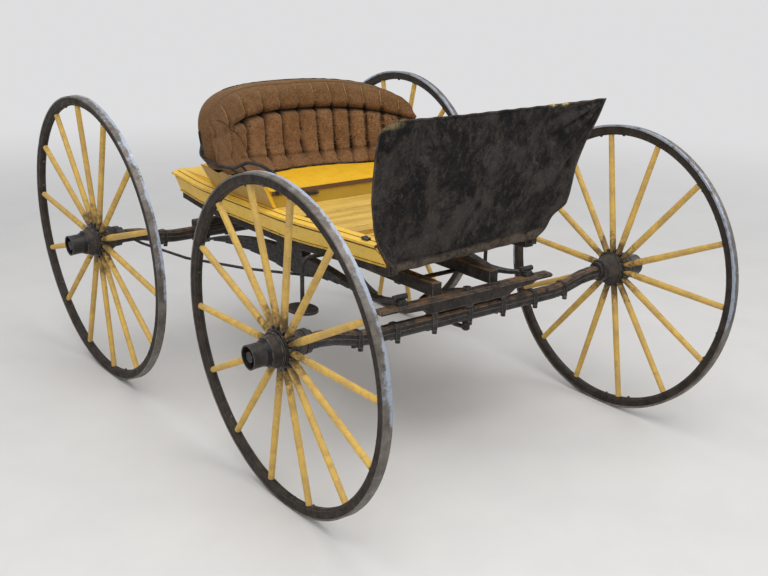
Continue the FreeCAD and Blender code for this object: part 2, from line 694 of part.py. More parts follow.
# place along the axle, share of the rise there
clip_places = [(f"{step} * sizes.clip_spacing", 0) for step in (-2, -1, 1, 2)]
clip_places += [(f"{side} * ({RISE_START} + {RISE[1][0]} * {RISE_LENGTH})", RISE[1][1])
                for word, side in SIDES]
for axle_name, centre in (("front", [("0", 0)]), ("rear", [])):
    axle = AXLES[axle_name]
    solid = make_beam(f"{axle_name}_clip_core", axle, "0", "sizes.axle_iron",
                      "sizes.axle_width", BED_END, -1)
    upper_solid = make_beam(f"{axle_name}_clip_core_bed", axle, "sizes.axle_iron", BED,
                            "sizes.axle_width", BED_END, 1)
    tools = [solid, upper_solid]
    if centre:
        tools.append(king_bolt_hole("front_clip_hole", "sizes.running_gap"))
    node(make_clips(f"{axle_name}_clips", axle, centre + clip_places,
                    fuse(f"{axle_name}_clip_room", tools)), f"{axle_name}_axle_clips")


# ---------------------------------------------------------------- turning gear
RING_RADIUS = "(sizes.clip_spacing + sizes.fifth_wheel_band / 2)"


def make_plates(name, low, clearance):
    """A half ring behind the axle, its ends on the axle clips, and a disc at the king bolt."""
    body = new_body(name + "_ring")
    sketch = new_sketch(body, "XY_Plane")
    circle(sketch, "0", "0", RING_RADIUS)
    circle(sketch, "0", "0", f"{RING_RADIUS} - sizes.fifth_wheel_band")
    pad(body, sketch, "sizes.plate_thickness", centred=False)
    put(body, "0", FRONT_Y, low)
    ahead = box(name + "_ahead", (f"-{RING_RADIUS} - 1", f"{RING_RADIUS} + 1"),
                (f"{FRONT_Y} - {RING_RADIUS} - 1", f"{FRONT_Y} - sizes.axle_width / 2"),
                (f"{low} - 1", f"{low} + sizes.plate_thickness + 1"))
    disc = primitive("Cylinder", name + "_disc", Radius="sizes.plate_disc_radius",
                     Height="sizes.plate_thickness")
    put(disc, "0", FRONT_Y, low)
    drilled = cut(name + "_drilled", disc, king_bolt_hole(name + "_hole", clearance))
    return fuse(name, [cut(name + "_half", body, ahead), drilled])


node(make_plates("lower_plates", PLATE_LOW, "sizes.running_gap"), "fifth_wheel_lower")
node(make_plates("upper_plates", f"({BOLSTER_BOTTOM} - sizes.plate_thickness)", "0"),
     "fifth_wheel_upper")


def bolster_section(name, length, low):
    """A bar along X with rounded upper edges, up to the level of the bolsters' top."""
    body = new_body(name)
    sketch = new_sketch(body, "YZ_Plane")
    half = "sizes.bolster_width / 2"
    inset = f"({half} - sizes.axle_rounding)"
    edge = f"{BOLSTER_TOP} - sizes.axle_rounding"
    polygon(sketch, [(f"-{half}", low), (half, low), (half, edge), (inset, BOLSTER_TOP),
                     (f"-{inset}", BOLSTER_TOP), (f"-{half}", edge)])
    pad(body, sketch, length)
    return body


BOLSTER_HALF = f"({SPRING_X} + sizes.bolster_overhang)"
bolster = new_body("front_bolster_side")
outline = new_sketch(bolster, "XZ_Plane")
tongue = f"{BOLSTER_TOP} - sizes.bolster_end_height"
half_bolster = [
    ("sizes.clip_spacing + 18", BOLSTER_BOTTOM), ("sizes.clip_spacing + 46", f"{tongue} - 12"),
    (f"{SPRING_X} + 2", f"{tongue} - 9"), (f"{SPRING_X} + 24", tongue),
    (f"{BOLSTER_HALF} - 5", tongue), (BOLSTER_HALF, f"{tongue} + 5"),
    (BOLSTER_HALF, f"{BOLSTER_TOP} - 5"), (f"{BOLSTER_HALF} - 5", BOLSTER_TOP)]
polygon(outline, half_bolster + [(f"-({x})", z) for x, z in reversed(half_bolster)])
pad(bolster, outline, "sizes.bolster_width + 2")
bar = common("front_bolster_bar", bolster,
             bolster_section("front_bolster_section", f"2 * {BOLSTER_HALF} + 2",
                             f"{BOLSTER_BOTTOM} - 1"))
put(bar, "0", FRONT_Y, "0")
node(cut("front_bolster_drilled", bar, king_bolt_hole("bolster_hole", "0")), "front_bolster")

BAND_UNDER = f"({underside(AXLES['front'], 0)} - sizes.clip_iron)"
KING_LOW = f"({BAND_UNDER} - 34)"
shank = primitive("Cylinder", "king_bolt_shank", Radius="sizes.king_bolt_radius",
                  Height=f"{BOLSTER_TOP} + 4 - {KING_LOW}")
put(shank, "0", FRONT_Y, KING_LOW)
head = primitive("Prism", "king_bolt_head", Circumradius="15", Height="10")
head.Polygon = 6
put(head, "0", FRONT_Y, BOLSTER_TOP)
king_nut = primitive("Cylinder", "king_bolt_nut", Radius="13", Height="20")
put(king_nut, "0", FRONT_Y, f"{BAND_UNDER} - 30")
strap_y = value(FRONT_Y) + S("clip_spacing") + 45
yoke_low = value(BAND_UNDER) - 24
yoke = shaped("king_bolt_yoke", bent_rod([
    Vector(0, value(FRONT_Y), yoke_low), Vector(0, value(FRONT_Y) + 62, yoke_low - 6),
    Vector(0, strap_y - 12, yoke_low + 45), Vector(0, strap_y, value(BOLSTER_TOP) - 3)], 7, 40))
strap = box("king_bolt_strap", ("-sizes.perch_offset - 18", "sizes.perch_offset + 18"),
            (str(strap_y - 14), str(strap_y + 14)), (f"{BOLSTER_TOP} - 5", BOLSTER_TOP))
node(fuse("king_bolt_parts", [shank, head, king_nut, yoke, strap]), "king_bolt")

rear_bar = bolster_section("rear_bolster_bar", f"2 * ({SPRING_X} + sizes.rear_bolster_overhang)",
                           f"({AXLES['rear']['bed_top']} + sizes.clip_iron)")
node(put(rear_bar, "0", REAR_Y, "0"), "rear_bolster")

for word, side in SIDES:
    half = "sizes.perch_width / 2"
    perch = box(f"perch_bar_{word}",
                (f"{side} * sizes.perch_offset - {half}", f"{side} * sizes.perch_offset + {half}"),
                (f"{FRONT_Y} + sizes.king_bolt_radius", f"{REAR_Y} + sizes.bolster_width / 2"),
                (BOLSTER_TOP, f"{BOLSTER_TOP} + sizes.perch_height"))
    node(perch, f"perch_{word}")


# ---------------------------------------------------------------- side springs
REAR_BOLSTER_FACE = f"({REAR_Y} - sizes.bolster_width / 2)"
CROWN_Y = f"({MID_Y} - sizes.spring_ahead)"


def leaf(name, side, index):
    """One leaf, an arc strip concentric with the top leaf and shorter the lower it lies.

    The top leaf runs from the rear hangers to a reversed front end on the front bolster.
    """
    crown_y = value(CROWN_Y)
    crown_z, curve = value(SPRING_TOP), S("spring_radius")
    upper = curve - index * S("leaf_thickness")
    lower = upper - S("leaf_thickness")
    share = 1 - index / S("leaf_count")
    rear_reach = (value(REAR_BOLSTER_FACE) - S("hanger_thickness") - crown_y) * share
    front_reach = S("spring_front_reach") * share

    def on_arc(radius, along):
        angle = math.asin(along / curve)
        return Vector(0, crown_y + radius * math.sin(angle),
                      crown_z - curve + radius * math.cos(angle))

    ends = (-front_reach, 0, rear_reach)
    top = [on_arc(upper, along) for along in ends]
    bottom = [on_arc(lower, along) for along in ends]
    edges = [Part.Arc(*top).toShape(), Part.LineSegment(top[2], bottom[2]).toShape(),
             Part.Arc(bottom[2], bottom[1], bottom[0]).toShape()]
    if index:
        edges.append(Part.LineSegment(bottom[0], top[0]).toShape())
    else:
        thick = Vector(0, 0, S("leaf_thickness"))
        landing = Vector(0, value(FRONT_Y) + S("bolster_width") / 2 + 12, value(BOLSTER_TOP))
        tip = Vector(0, value(FRONT_Y) - S("bolster_width") / 4, value(BOLSTER_TOP))
        middle = (bottom[0] + landing) * 0.5 - Vector(0, 0, 6)
        edges += [Part.Arc(bottom[0], middle, landing).toShape(),
                  Part.LineSegment(landing, tip).toShape(),
                  Part.LineSegment(tip, tip + thick).toShape(),
                  Part.LineSegment(tip + thick, landing + thick).toShape(),
                  Part.Arc(landing + thick, middle + thick, top[0]).toShape()]
    width = S("spring_width")
    strip = Part.Face(Part.Wire(edges)).extrude(Vector(width, 0, 0))
    strip.translate(Vector(side * value(SPRING_X) - width / 2, 0, 0))
    return strip


for word, side in SIDES:
    leaves = [leaf(word, side, index) for index in range(int(S("leaf_count")))]
    node(shaped(f"side_spring_{word}_leaves", leaves[0].multiFuse(leaves[1:]).removeSplitter()),
         f"side_spring_{word}")
    half = "sizes.spring_width / 2"
    middle = f"{side} * {SPRING_X}"
    across = (f"{middle} - {half}", f"{middle} + {half}")
    saddle = box(f"spring_saddle_{word}", across, (f"{CROWN_Y} - 80", f"{CROWN_Y} + 80"),
                 (SPRING_TOP, f"{BODY_BOTTOM} - sizes.sill_height"))
    # the spring's rear end lies in a hanger on the front face of the rear bolster
    rear_drop = (value(REAR_BOLSTER_FACE) - value(CROWN_Y)) ** 2 / (2 * S("spring_radius"))
    hanger = box(f"spring_hanger_{word}", across,
                 (f"{REAR_BOLSTER_FACE} - sizes.hanger_thickness", REAR_BOLSTER_FACE),
                 (str(value(SPRING_TOP) - rear_drop - S("leaf_thickness") - 4), BOLSTER_TOP))
    on_leaf = f"({BOLSTER_TOP} + sizes.leaf_thickness)"
    strap = box(f"spring_strap_{word}", (f"{middle} - 13", f"{middle} + 13"),
                (f"{FRONT_Y} - 8", f"{FRONT_Y} + sizes.bolster_width / 2"),
                (on_leaf, f"{on_leaf} + 6"))
    pin = primitive("Cylinder", f"spring_pin_{word}", Radius="9", Height="sizes.spring_width + 12")
    put(pin, f"{middle} - {half} - 6", f"{FRONT_Y} + 9", f"{on_leaf} + 12",
        Rotation(Vector(0, 1, 0), 90))
    node(fuse(f"spring_irons_{word}_parts", [saddle, hanger, strap, pin]), f"spring_irons_{word}")

# Round stays run from the rear axle, in below the springs, to the perches.
for word, side in SIDES:
    start_x = value(RISE_START) + 0.95 * value(RISE_LENGTH)
    start_z = value(underside(AXLES["rear"], 1)) + S("stay_radius") + 1
    axle_face = value(REAR_Y) - S("axle_width") / 2
    low = value(SPRING_TOP) - S("leaf_count") * S("leaf_thickness") - S("stay_radius") - 8
    end_x, end_y = S("perch_offset"), value(CROWN_Y) - 170
    stay = bent_rod([
        Vector(side * start_x, axle_face, start_z),
        Vector(side * start_x, axle_face - 60, start_z),
        Vector(side * (end_x + 0.84 * (start_x - end_x)), axle_face - 280, low + 6),
        Vector(side * (end_x + 0.56 * (start_x - end_x)), axle_face - 500, low),
        Vector(side * (end_x + 0.25 * (start_x - end_x)), end_y + 130, low),
        Vector(side * end_x, end_y, low),
        Vector(side * end_x, end_y, value(BOLSTER_TOP)),
    ], S("stay_radius"), 60)
    node(shaped(f"stay_{word}", stay), f"stay_rod_{word}")

# ---------------------------------------------------------------- body
# distance ahead (-) or behind the wheelbase's middle, how far the bottom edge has risen there,
# how far the cap has risen there
BODY_STATIONS = [
    ("sizes.body_rear", 19, 19),
    ("sizes.seat_front + sizes.seat_depth + 114", 2, 4),
    ("sizes.seat_front + sizes.seat_depth + 40", 0, 0),
    ("-60", 0, 0),
    ("-200", 9, 8),
    ("-330", 19, 15),
    ("-470", 27, 21),
    ("-sizes.body_front", 36, 28),
]
REAR_RISE = BODY_STATIONS[0][1]
FRONT_RISE, FRONT_CAP_RISE = BODY_STATIONS[-1][1:]
BOARD = "sizes.body_board"
DECK_HALF = "(sizes.body_half_bottom + sizes.body_flare - sizes.body_cap)"


def body_loft(name, outline_at):
    """A piece that follows the body's gently rising edges from rear to front."""
    body = new_body(name)
    sketches = []
    for along, rise, cap_rise in BODY_STATIONS:
        sketch = new_sketch(body, "XZ_Plane", f"-({along})")
        polygon(sketch, outline_at(f"({BODY_BOTTOM} + {rise})",
                                   f"({BODY_BOTTOM} + sizes.body_side + {cap_rise})"))
        sketches.append(sketch)
    loft(body, sketches)
    return put(body, "0", MID_Y, "0")


def side_outline(side):
    """A leaning board with a bead along its foot and a cap that slopes up and inward."""
    def outline_at(bottom, top):
        # height above the bottom or the cap's outer edge, distance out from the foot
        lean = f"sizes.body_flare / ({top} - {bottom})"
        bead = f"({lean} * sizes.bead)"
        outer = f"(sizes.body_half_bottom + sizes.body_flare)"
        rows = [
            ("sizes.body_half_bottom", bottom),
            (f"sizes.body_half_bottom + {bead} + 2", f"{bottom} + 1"),
            (f"sizes.body_half_bottom + {bead} + 4", f"{bottom} + sizes.bead - 2"),
            (f"sizes.body_half_bottom + {bead}", f"{bottom} + sizes.bead"),
            (f"{outer} - {lean} * 9", f"{top} - 9"),
            (f"{outer} + sizes.cap_lip", f"{top} - 8"),
            (f"{outer} + sizes.cap_lip", f"{top} - 1"),
            (f"{outer} - sizes.body_cap", f"{top} + sizes.cap_rise"),
            (f"{outer} - sizes.body_cap", f"{top} + sizes.cap_rise - 10"),
            (f"{outer} - {BOARD} - 3", f"{top} - 3"),
            (f"sizes.body_half_bottom - {BOARD}", bottom),
        ]
        return [(f"{side} * ({x})", z) for x, z in rows]
    return outline_at


def sill_outline(side):
    def outline_at(bottom, top):
        outer = f"{side} * (sizes.body_half_bottom - 6)"
        inner = f"{side} * (sizes.body_half_bottom - 6 - sizes.sill_width)"
        return [(outer, f"{bottom} - sizes.sill_height"), (outer, bottom), (inner, bottom),
                (inner, f"{bottom} - sizes.sill_height")]
    return outline_at


def across_body(name, outline, half):
    """A piece drawn in side view, reaching half to each side of the wagon's middle."""
    body = new_body(name)
    sketch = new_sketch(body, "YZ_Plane")
    polygon(sketch, outline)
    pad(body, sketch, f"2 * ({half})")
    return put(body, "0", MID_Y, "0")


front_low = f"{BODY_BOTTOM} + {FRONT_RISE}"
front_high = f"{BODY_BOTTOM} + sizes.body_side + {FRONT_CAP_RISE} + sizes.cap_rise"
for word, side in SIDES:
    toe = across_body(f"toe_cut_{word}", [
        ("-sizes.body_front - 1", f"{front_low} - 2"),
        ("-sizes.body_front + sizes.toe_slope", f"{front_high} + 2"),
        ("-sizes.body_front - 30", f"{front_high} + 2"),
        ("-sizes.body_front - 30", f"{front_low} - 2")], "sizes.body_half_bottom + 60")
    node(cut(f"side_{word}", body_loft(f"side_board_{word}", side_outline(side)), toe),
         f"body_side_{word}")
    node(body_loft(f"sill_bar_{word}", sill_outline(side)), f"body_sill_{word}")

# The floor boards lie across the body, with a step down to the lower floor at the dash.
toe_floor = f"({FLOOR_TOP} - sizes.upper_floor)"
groove = "sizes.floor_groove"
floor_rows = [("-sizes.body_front + 6", FLOOR_UNDER), ("sizes.body_rear - 40", FLOOR_UNDER),
              ("sizes.body_rear - 40", toe_floor), ("sizes.seat_front + sizes.seat_depth", toe_floor),
              ("sizes.seat_front + sizes.seat_depth", FLOOR_TOP)]
for joint in ("sizes.upper_floor_front * 0.31", "sizes.upper_floor_front * 0.86"):
    floor_rows += [(f"-{joint} + {groove} / 2", FLOOR_TOP), (f"-{joint}", f"{FLOOR_TOP} - {groove}"),
                   (f"-{joint} - {groove} / 2", FLOOR_TOP)]
floor_rows += [("-sizes.upper_floor_front", FLOOR_TOP), ("-sizes.upper_floor_front", toe_floor),
               ("-sizes.body_front + 6", toe_floor)]
node(across_body("floor_boards", floor_rows, DECK_HALF), "body_floor")

# ---------------------------------------------------------------- seat
SEAT_BACK_Y = "(sizes.seat_front + sizes.seat_depth)"
SEAT_HALF = "(sizes.body_half_bottom + sizes.seat_overhang)"


def seat_section(body, level, spread, front, back):
    """A level outline of the seat box, spread sideways, from its front to its back."""
    sketch = new_sketch(body, "XY_Plane", level)
    half = f"({SEAT_HALF} + {spread})"
    polygon(sketch, [(f"-{half}", front), (half, front), (half, back), (f"-{half}", back)])
    return sketch


flare = "sizes.seat_flare"
riser = new_body("seat_riser_solid")
loft(riser, [seat_section(riser, SEAT_BOTTOM, "0", "sizes.seat_front", SEAT_BACK_Y),
             seat_section(riser, BOX_TOP, flare, "sizes.seat_front",
                          f"{SEAT_BACK_Y} + {flare} / 2")])
put(riser, "0", MID_Y, "0")
room = new_body("seat_riser_room")
ahead = "sizes.seat_front - 10"
loft(room, [seat_section(room, SEAT_BOTTOM, f"-{BOARD}", ahead, f"{SEAT_BACK_Y} - {BOARD}"),
            seat_section(room, BOX_TOP, f"({flare} - {BOARD})", ahead,
                         f"{SEAT_BACK_Y} + {flare} / 2 - {BOARD}")])
put(room, "0", MID_Y, "0")
node(cut("seat_riser_hollow", riser, room), "seat_riser")

board_low = f"({SEAT_TOP} - sizes.seat_board_thickness)"
spread_here = f"({flare} * ({board_low} - {SEAT_BOTTOM}) / sizes.seat_box_height)"
seat_half = f"({SEAT_HALF} + {spread_here} - {BOARD})"
seat_board = box("seat_board_plank", (f"-{seat_half}", seat_half),
                 (f"{MID_Y} + sizes.seat_front", f"{MID_Y} + {SEAT_BACK_Y} - {BOARD}"),
                 (board_low, SEAT_TOP))
node(seat_board, "seat_board")

apron = new_body("seat_apron")
outline = new_sketch(apron, "XZ_Plane")
foot_half = f"({SEAT_HALF} - {BOARD} - 1.3)"
polygon(outline, [(f"-{foot_half}", FLOOR_TOP), (foot_half, FLOOR_TOP),
                  (f"{seat_half} - 0.3", board_low), (f"-{seat_half} + 0.3", board_low)])
pad(apron, outline, BOARD, centred=False, reverse=True)
put(apron, "0", f"{MID_Y} + sizes.seat_front + 4", "0")
node(apron, "seat_front_panel")

deck_clear = f"({flare} / 2 * sizes.deck_thickness / sizes.seat_box_height)"
node(box("rear_deck_board", (f"-{DECK_HALF}", DECK_HALF),
         (f"{MID_Y} + {SEAT_BACK_Y} + {deck_clear}", f"{MID_Y} + sizes.body_rear"),
         (SEAT_BOTTOM, f"{SEAT_BOTTOM} + sizes.deck_thickness")), "rear_deck")
tail = new_body("tail_board_plank")
outline = new_sketch(tail, "XZ_Plane")
tail_low = f"({BODY_BOTTOM} + {REAR_RISE})"
tail_lean = f"((sizes.body_flare - 3) / (sizes.body_side - 3) * ({SEAT_BOTTOM} - {tail_low}))"
tail_half = f"(sizes.body_half_bottom - {BOARD} - 0.3)"
polygon(outline, [(f"-{tail_half}", tail_low), (tail_half, tail_low),
                  (f"{tail_half} + {tail_lean}", SEAT_BOTTOM),
                  (f"-{tail_half} - {tail_lean}", SEAT_BOTTOM)])
pad(tail, outline, BOARD, centred=False, reverse=True)
put(tail, "0", f"{MID_Y} + sizes.body_rear - {BOARD}", "0")
node(tail, "tail_board")

# The back is swept round an upright axis ahead of it, leaning out as it rises.
BACK_AXIS_Y = f"({MID_Y} + {SEAT_BACK_Y} - {BOARD} - 90 - sizes.back_sweep_radius)"
BACK_SLOPE = "tan(sizes.back_lean)"
BACK_TOP = f"({SEAT_TOP} + sizes.back_height)"
BACK_HALF = f"({SEAT_HALF} + sizes.back_overhang)"
FOOT_HALF = f"({SEAT_HALF} - sizes.back_foot_inset)"
REST = f"({BOX_TOP} + 3)"
THICK = "sizes.back_pad_thickness"


def back_radius(offset, level):
    """Distance from the back's axis of a place offset from the pad's face at a level."""
    return f"sizes.back_sweep_radius + {offset} + (({level}) - {SEAT_TOP}) * {BACK_SLOPE}"


def back_strip(name, rows, half_width):
    """A leaning strip swept about the back's axis, wider than half_width to each side."""
    body = new_body(name)
    sketch = new_sketch(body, "YZ_Plane")
    polygon(sketch, [(back_radius(offset, level), level) for offset, level in rows])
    angle = f"asin({half_width} / (sizes.back_sweep_radius - sizes.back_foot)) + 2 deg"
    revolve(body, sketch, f"2 * ({angle})", centred=True)
    return put(body, "0", BACK_AXIS_Y, "0")


def back_outline():
    """The back's rounded outline as seen from ahead, as a solid along Y."""
    power = 2 / S("back_round")
    half_height = (S("back_height") + 14) / 2
    middle = value(BACK_TOP) - half_height
    points = []
    for step in range(32):
        angle = 2 * math.pi * step / 32
        x, z = (math.copysign(abs(part) ** power, part) for part in (math.cos(angle), math.sin(angle)))
        points.append(Vector(value(BACK_HALF) * x, value(BACK_AXIS_Y), middle + half_height * z))
    curve = Part.BSplineCurve()
    curve.interpolate(points, PeriodicFlag=True)
    depth = S("back_sweep_radius") + 300
    return Part.Face(Part.Wire(curve.toShape())).extrude(Vector(0, depth, 0))


foot = "-sizes.back_foot"
near_top = f"({BACK_TOP} - 60)"
# offset from the face, level: below the seat box's edge and above it
PAD_LOWER = [(foot, f"{SEAT_TOP} + 0.3"), (f"{foot} + 6", REST), (THICK, REST),
             (THICK, f"{SEAT_TOP} + 0.3")]
PAD_UPPER = [(f"{foot} + 6", REST), ("0", f"({REST} + 60)"), ("-4", near_top),
             ("2", f"({BACK_TOP} - 22)"), ("24", BACK_TOP), (THICK, BACK_TOP), (THICK, REST)]
pad_face, board_face = f"{THICK} + 0.3", f"{THICK} + 0.3 + sizes.back_board"
BOARD_LOWER = [(pad_face, SEAT_TOP), (pad_face, REST), (board_face, REST), (board_face, SEAT_TOP)]
BOARD_UPPER = [(pad_face, REST), (pad_face, BACK_TOP), (board_face, BACK_TOP), (board_face, REST)]
for label, lower_rows, upper_rows in (("seat_back_pad", PAD_LOWER, PAD_UPPER),
                                      ("seat_back_board", BOARD_LOWER, BOARD_UPPER)):
    strips = [back_strip(f"{label}_lower", lower_rows, FOOT_HALF),
              back_strip(f"{label}_upper", upper_rows, BACK_HALF)]
    node(common(f"{label}_rounded", fuse(f"{label}_strips", strips),
                shaped(f"{label}_outline", back_outline())), label)


def rod_points(side, rows):
    """Points of a bent iron from (x, y, z) rows, mirrored for the wagon's right side."""
    return [Vector(side * x, y + value(MID_Y), z) for x, y, z in rows]


# out from the body's bottom edge, share of the way back to the outside of the back board's
# end, above the seat board: from the rear end to the front end
ARM_RAIL = [
    (146, 1.092, 104), (150, 0.888, 90), (152, 0.542, 86), (121, 0.295, 82), (84, 0.13, 106),
    (56, -0.052, 99), (8, -0.147, 62), (-8, -0.026, 20), (-8, -0.026, -14),
]
# struts from the seat box's edge up to the rail, to places given in the same way
STRUTS = [(102, 0.221, 95), (128, 0.373, 83)]
axis_y = value(BACK_AXIS_Y) - value(MID_Y)
end_level = value(SEAT_TOP) + ARM_RAIL[0][2]
end_radius = value(back_radius(board_face, end_level))
end_y = axis_y + math.sqrt(end_radius ** 2 - value(BACK_HALF) ** 2)


def rail_place(out, share, height):
    """Place of an arm rail row, with y behind the middle of the wheelbase."""
    front = S("seat_front")
    return (out + S("body_half_bottom"), front + share * (end_y - front),
            height + value(SEAT_TOP))


for word, side in SIDES:
    rows = [rail_place(*row) for row in ARM_RAIL]
    # its rear end lies against the outside of the back board
    for height in (30, 66):
        level = end_level + height
        reach = value(f"{back_radius(board_face, level)} + sizes.rail_radius / cos(sizes.back_lean)")
        reach += 0.2
        bearing = math.asin((value(BACK_HALF) - 12) / reach)
        rows.insert(0, (reach * math.sin(bearing), axis_y + reach * math.cos(bearing), level))
    rail = bent_rod(rod_points(side, rows), S("rail_radius"), 40)
    edge_x = value(SEAT_HALF) + S("seat_flare") - S("body_board") / 2
    for strut in STRUTS:
        x, y, z = rail_place(*strut)
        foot_point, top_point = rod_points(side, [(edge_x, y, value(BOX_TOP) + 3.5), (x, y, z)])
        run = top_point - foot_point
        rail = rail.fuse(Part.makeCylinder(4, run.Length, foot_point, run))
    node(shaped(f"arm_rail_{word}_rod", rail), f"arm_rail_{word}")

# ---------------------------------------------------------------- dash
DASH_Y = f"({MID_Y} - sizes.body_front - sizes.dash_ahead)"
DASH_LOW = f"({BODY_BOTTOM} + sizes.dash_gap)"
DASH_LENGTH = "(sizes.dash_height / cos(sizes.dash_lean))"
DASH_HALF = "(sizes.body_half_bottom - 5)"


def on_dash(feature):
    """Stand a piece drawn upright in XZ on the dash's lower edge, leaning forward."""
    lean = Rotation(Vector(1, 0, 0), S("dash_lean"))
    return put(feature, "0", DASH_Y, DASH_LOW, lean)


leather = new_body("dash_leather_sheet")
outline = new_sketch(leather, "XZ_Plane")
# share of the dash's height, share of the way from the lower to the upper half width
DASH_EDGE = [(0, -0.15), (0.03, 0), (0.1, 0.15), (0.18, 0.38), (0.24, 0.58), (0.32, 0.69),
             (0.52, 0.78), (0.68, 0.86), (0.83, 0.95), (0.94, 1), (0.985, 0.97), (1, 0.88)]
edge = [(f"({DASH_HALF} + {spread} * sizes.dash_spread)", f"{height} * {DASH_LENGTH}")
        for height, spread in DASH_EDGE]
polygon(outline, edge + [(f"-{x}", z) for x, z in reversed(edge)])
pad(leather, outline, "sizes.dash_leather")
node(on_dash(leather), "dash_leather")

behind_leather = S("dash_iron") + S("dash_leather") / 2
length = value(DASH_LENGTH)
# share of the height, share of the spread, both as in DASH_EDGE
HOOP = [(0, -0.08), (0.12, 0.12), (0.25, 0.5), (0.96, 0.88)]
left = [Vector(value(DASH_HALF) + spread * S("dash_spread"), behind_leather, height * length)
        for height, spread in HOOP]
right = [Vector(-point.x, point.y, point.z) for point in left]
hoop = on_dash(shaped("dash_hoop", bent_rod(right + left[::-1], S("dash_iron"), 60)))
feet = []
body_end = f"({MID_Y} - sizes.body_front)"
for word, side in SIDES:
    middle = f"{side} * ({DASH_HALF} - 0.08 * sizes.dash_spread)"
    feet.append(box(f"dash_foot_{word}", (f"{middle} - 9", f"{middle} + 9"),
                    (f"{DASH_Y} + 3", body_end), (f"{DASH_LOW} - 17", f"{DASH_LOW} + 14")))
node(fuse("dash_frame_parts", [hoop] + feet), "dash_frame")

# ---------------------------------------------------------------- steps
STEP_X = "(sizes.body_half_bottom + sizes.step_reach)"
STEP_TOP = f"({BODY_BOTTOM} - sizes.step_drop)"

for word, side in SIDES:
    step_pad = new_body(f"step_pad_{word}")
    sketch = new_sketch(step_pad, "XY_Plane")
    ellipse(sketch, "0", "0", "sizes.step_pad_width / 2", "sizes.step_length / 2")
    pad(step_pad, sketch, "sizes.step_thickness", centred=False)
    put(step_pad, f"{side} * {STEP_X}", f"{MID_Y} - sizes.step_ahead",
        f"{STEP_TOP} - sizes.step_thickness")
    out, ahead_y = value(STEP_X), -S("step_ahead")
    under_body = value(BODY_BOTTOM)
    points = rod_points(side, [
        (S("body_half_bottom") - 6, ahead_y, under_body), (out, ahead_y, under_body),
        (out, ahead_y, value(STEP_TOP) - S("step_thickness"))])
    stem = shaped(f"step_stem_{word}", bent_rod(points, S("step_iron"), 30))
    node(fuse(f"step_{word}_parts", [step_pad, stem]), f"step_{word}")

# ---------------------------------------------------------------- build, test and write
doc.recompute()
for item in doc.Objects:
    faults = {"Invalid", "Error"} & set(item.State)
    if faults:
        raise RuntimeError(f"{item.Name} is {item.State}")
for item in nodes:
    if item.Shape.isNull() or not item.Shape.isValid():
        raise RuntimeError(f"{item.Label} has a bad shape")
for item in nodes:
    item.Shape.exportStep(f"parts/{item.Label}.step")
    bounds = item.Shape.BoundBox
    reach = " ".join(f"{low:8.1f} {high:8.1f}" for low, high in (
        (bounds.XMin, bounds.XMax), (bounds.YMin, bounds.YMax), (bounds.ZMin, bounds.ZMax)))
    print(f"{item.Label:24s} {len(item.Shape.Solids):2d} solids  {reach}")
print(len(nodes), "nodes")
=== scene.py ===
import bpy, bmesh, json, math
import numpy as np
from mathutils import Matrix, Vector
from mathutils.bvhtree import BVHTree


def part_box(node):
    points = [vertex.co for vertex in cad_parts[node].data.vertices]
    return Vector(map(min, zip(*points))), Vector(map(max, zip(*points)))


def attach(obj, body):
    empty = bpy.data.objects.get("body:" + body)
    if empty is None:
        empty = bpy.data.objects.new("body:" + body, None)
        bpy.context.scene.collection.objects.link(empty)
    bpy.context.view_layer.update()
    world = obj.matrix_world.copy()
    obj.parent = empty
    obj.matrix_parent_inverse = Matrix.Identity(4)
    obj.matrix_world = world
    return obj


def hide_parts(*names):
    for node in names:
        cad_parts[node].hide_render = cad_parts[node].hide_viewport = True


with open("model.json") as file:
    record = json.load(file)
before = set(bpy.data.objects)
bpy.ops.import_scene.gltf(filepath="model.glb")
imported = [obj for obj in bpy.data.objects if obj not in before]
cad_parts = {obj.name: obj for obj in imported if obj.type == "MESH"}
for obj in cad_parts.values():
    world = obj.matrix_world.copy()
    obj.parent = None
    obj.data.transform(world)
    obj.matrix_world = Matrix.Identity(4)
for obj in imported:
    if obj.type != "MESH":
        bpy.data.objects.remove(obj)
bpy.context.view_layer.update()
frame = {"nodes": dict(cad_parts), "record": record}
NODES = frame["nodes"]

# ------------------------------------------------------------------ camera and lights
scene = bpy.context.scene
scene.view_settings.view_transform = "Standard"


def placed(name, data):
    """A new object in the scene."""
    made = bpy.data.objects.new(name, data)
    scene.collection.objects.link(made)
    return made


def add_camera():
    """The photo's camera: angles in degrees clockwise of +Y, down and about the line of sight."""
    heading, pitch, roll = (math.radians(a) for a in (37.469, 17.897, 0.945))
    look = Vector((math.sin(heading) * math.cos(pitch), math.cos(heading) * math.cos(pitch),
                   -math.sin(pitch)))
    right = Vector((math.cos(heading), -math.sin(heading), 0))
    up = right.cross(look)
    x = math.cos(roll) * right + math.sin(roll) * up
    y = -math.sin(roll) * right + math.cos(roll) * up
    camera = placed("camera", bpy.data.cameras.new("camera"))
    camera.data.sensor_width = 36
    camera.data.lens = 51.85
    camera.matrix_world = Matrix.Translation((-2.2648, -3.1686, 1.6440)) @ Matrix(
        (x, y, -look)).transposed().to_4x4()
    scene.camera = camera


def add_lamp(name, where, size, watts):
    """A square lamp aimed at the middle of the carriage."""
    aim = Vector((0, 0, 0.5))
    lamp = placed(name, bpy.data.lights.new(name, "AREA"))
    lamp.data.size = size
    lamp.data.energy = watts
    lamp.location = where
    lamp.rotation_euler = (aim - Vector(where)).to_track_quat("-Z", "Y").to_euler()


add_camera()
add_lamp("overhead", (-1.0, -1.5, 5.0), 5.0, 210)
add_lamp("front", (-4.5, -4.0, 3.0), 3.5, 85)
add_lamp("left", (5.0, -1.5, 3.5), 3.5, 60)


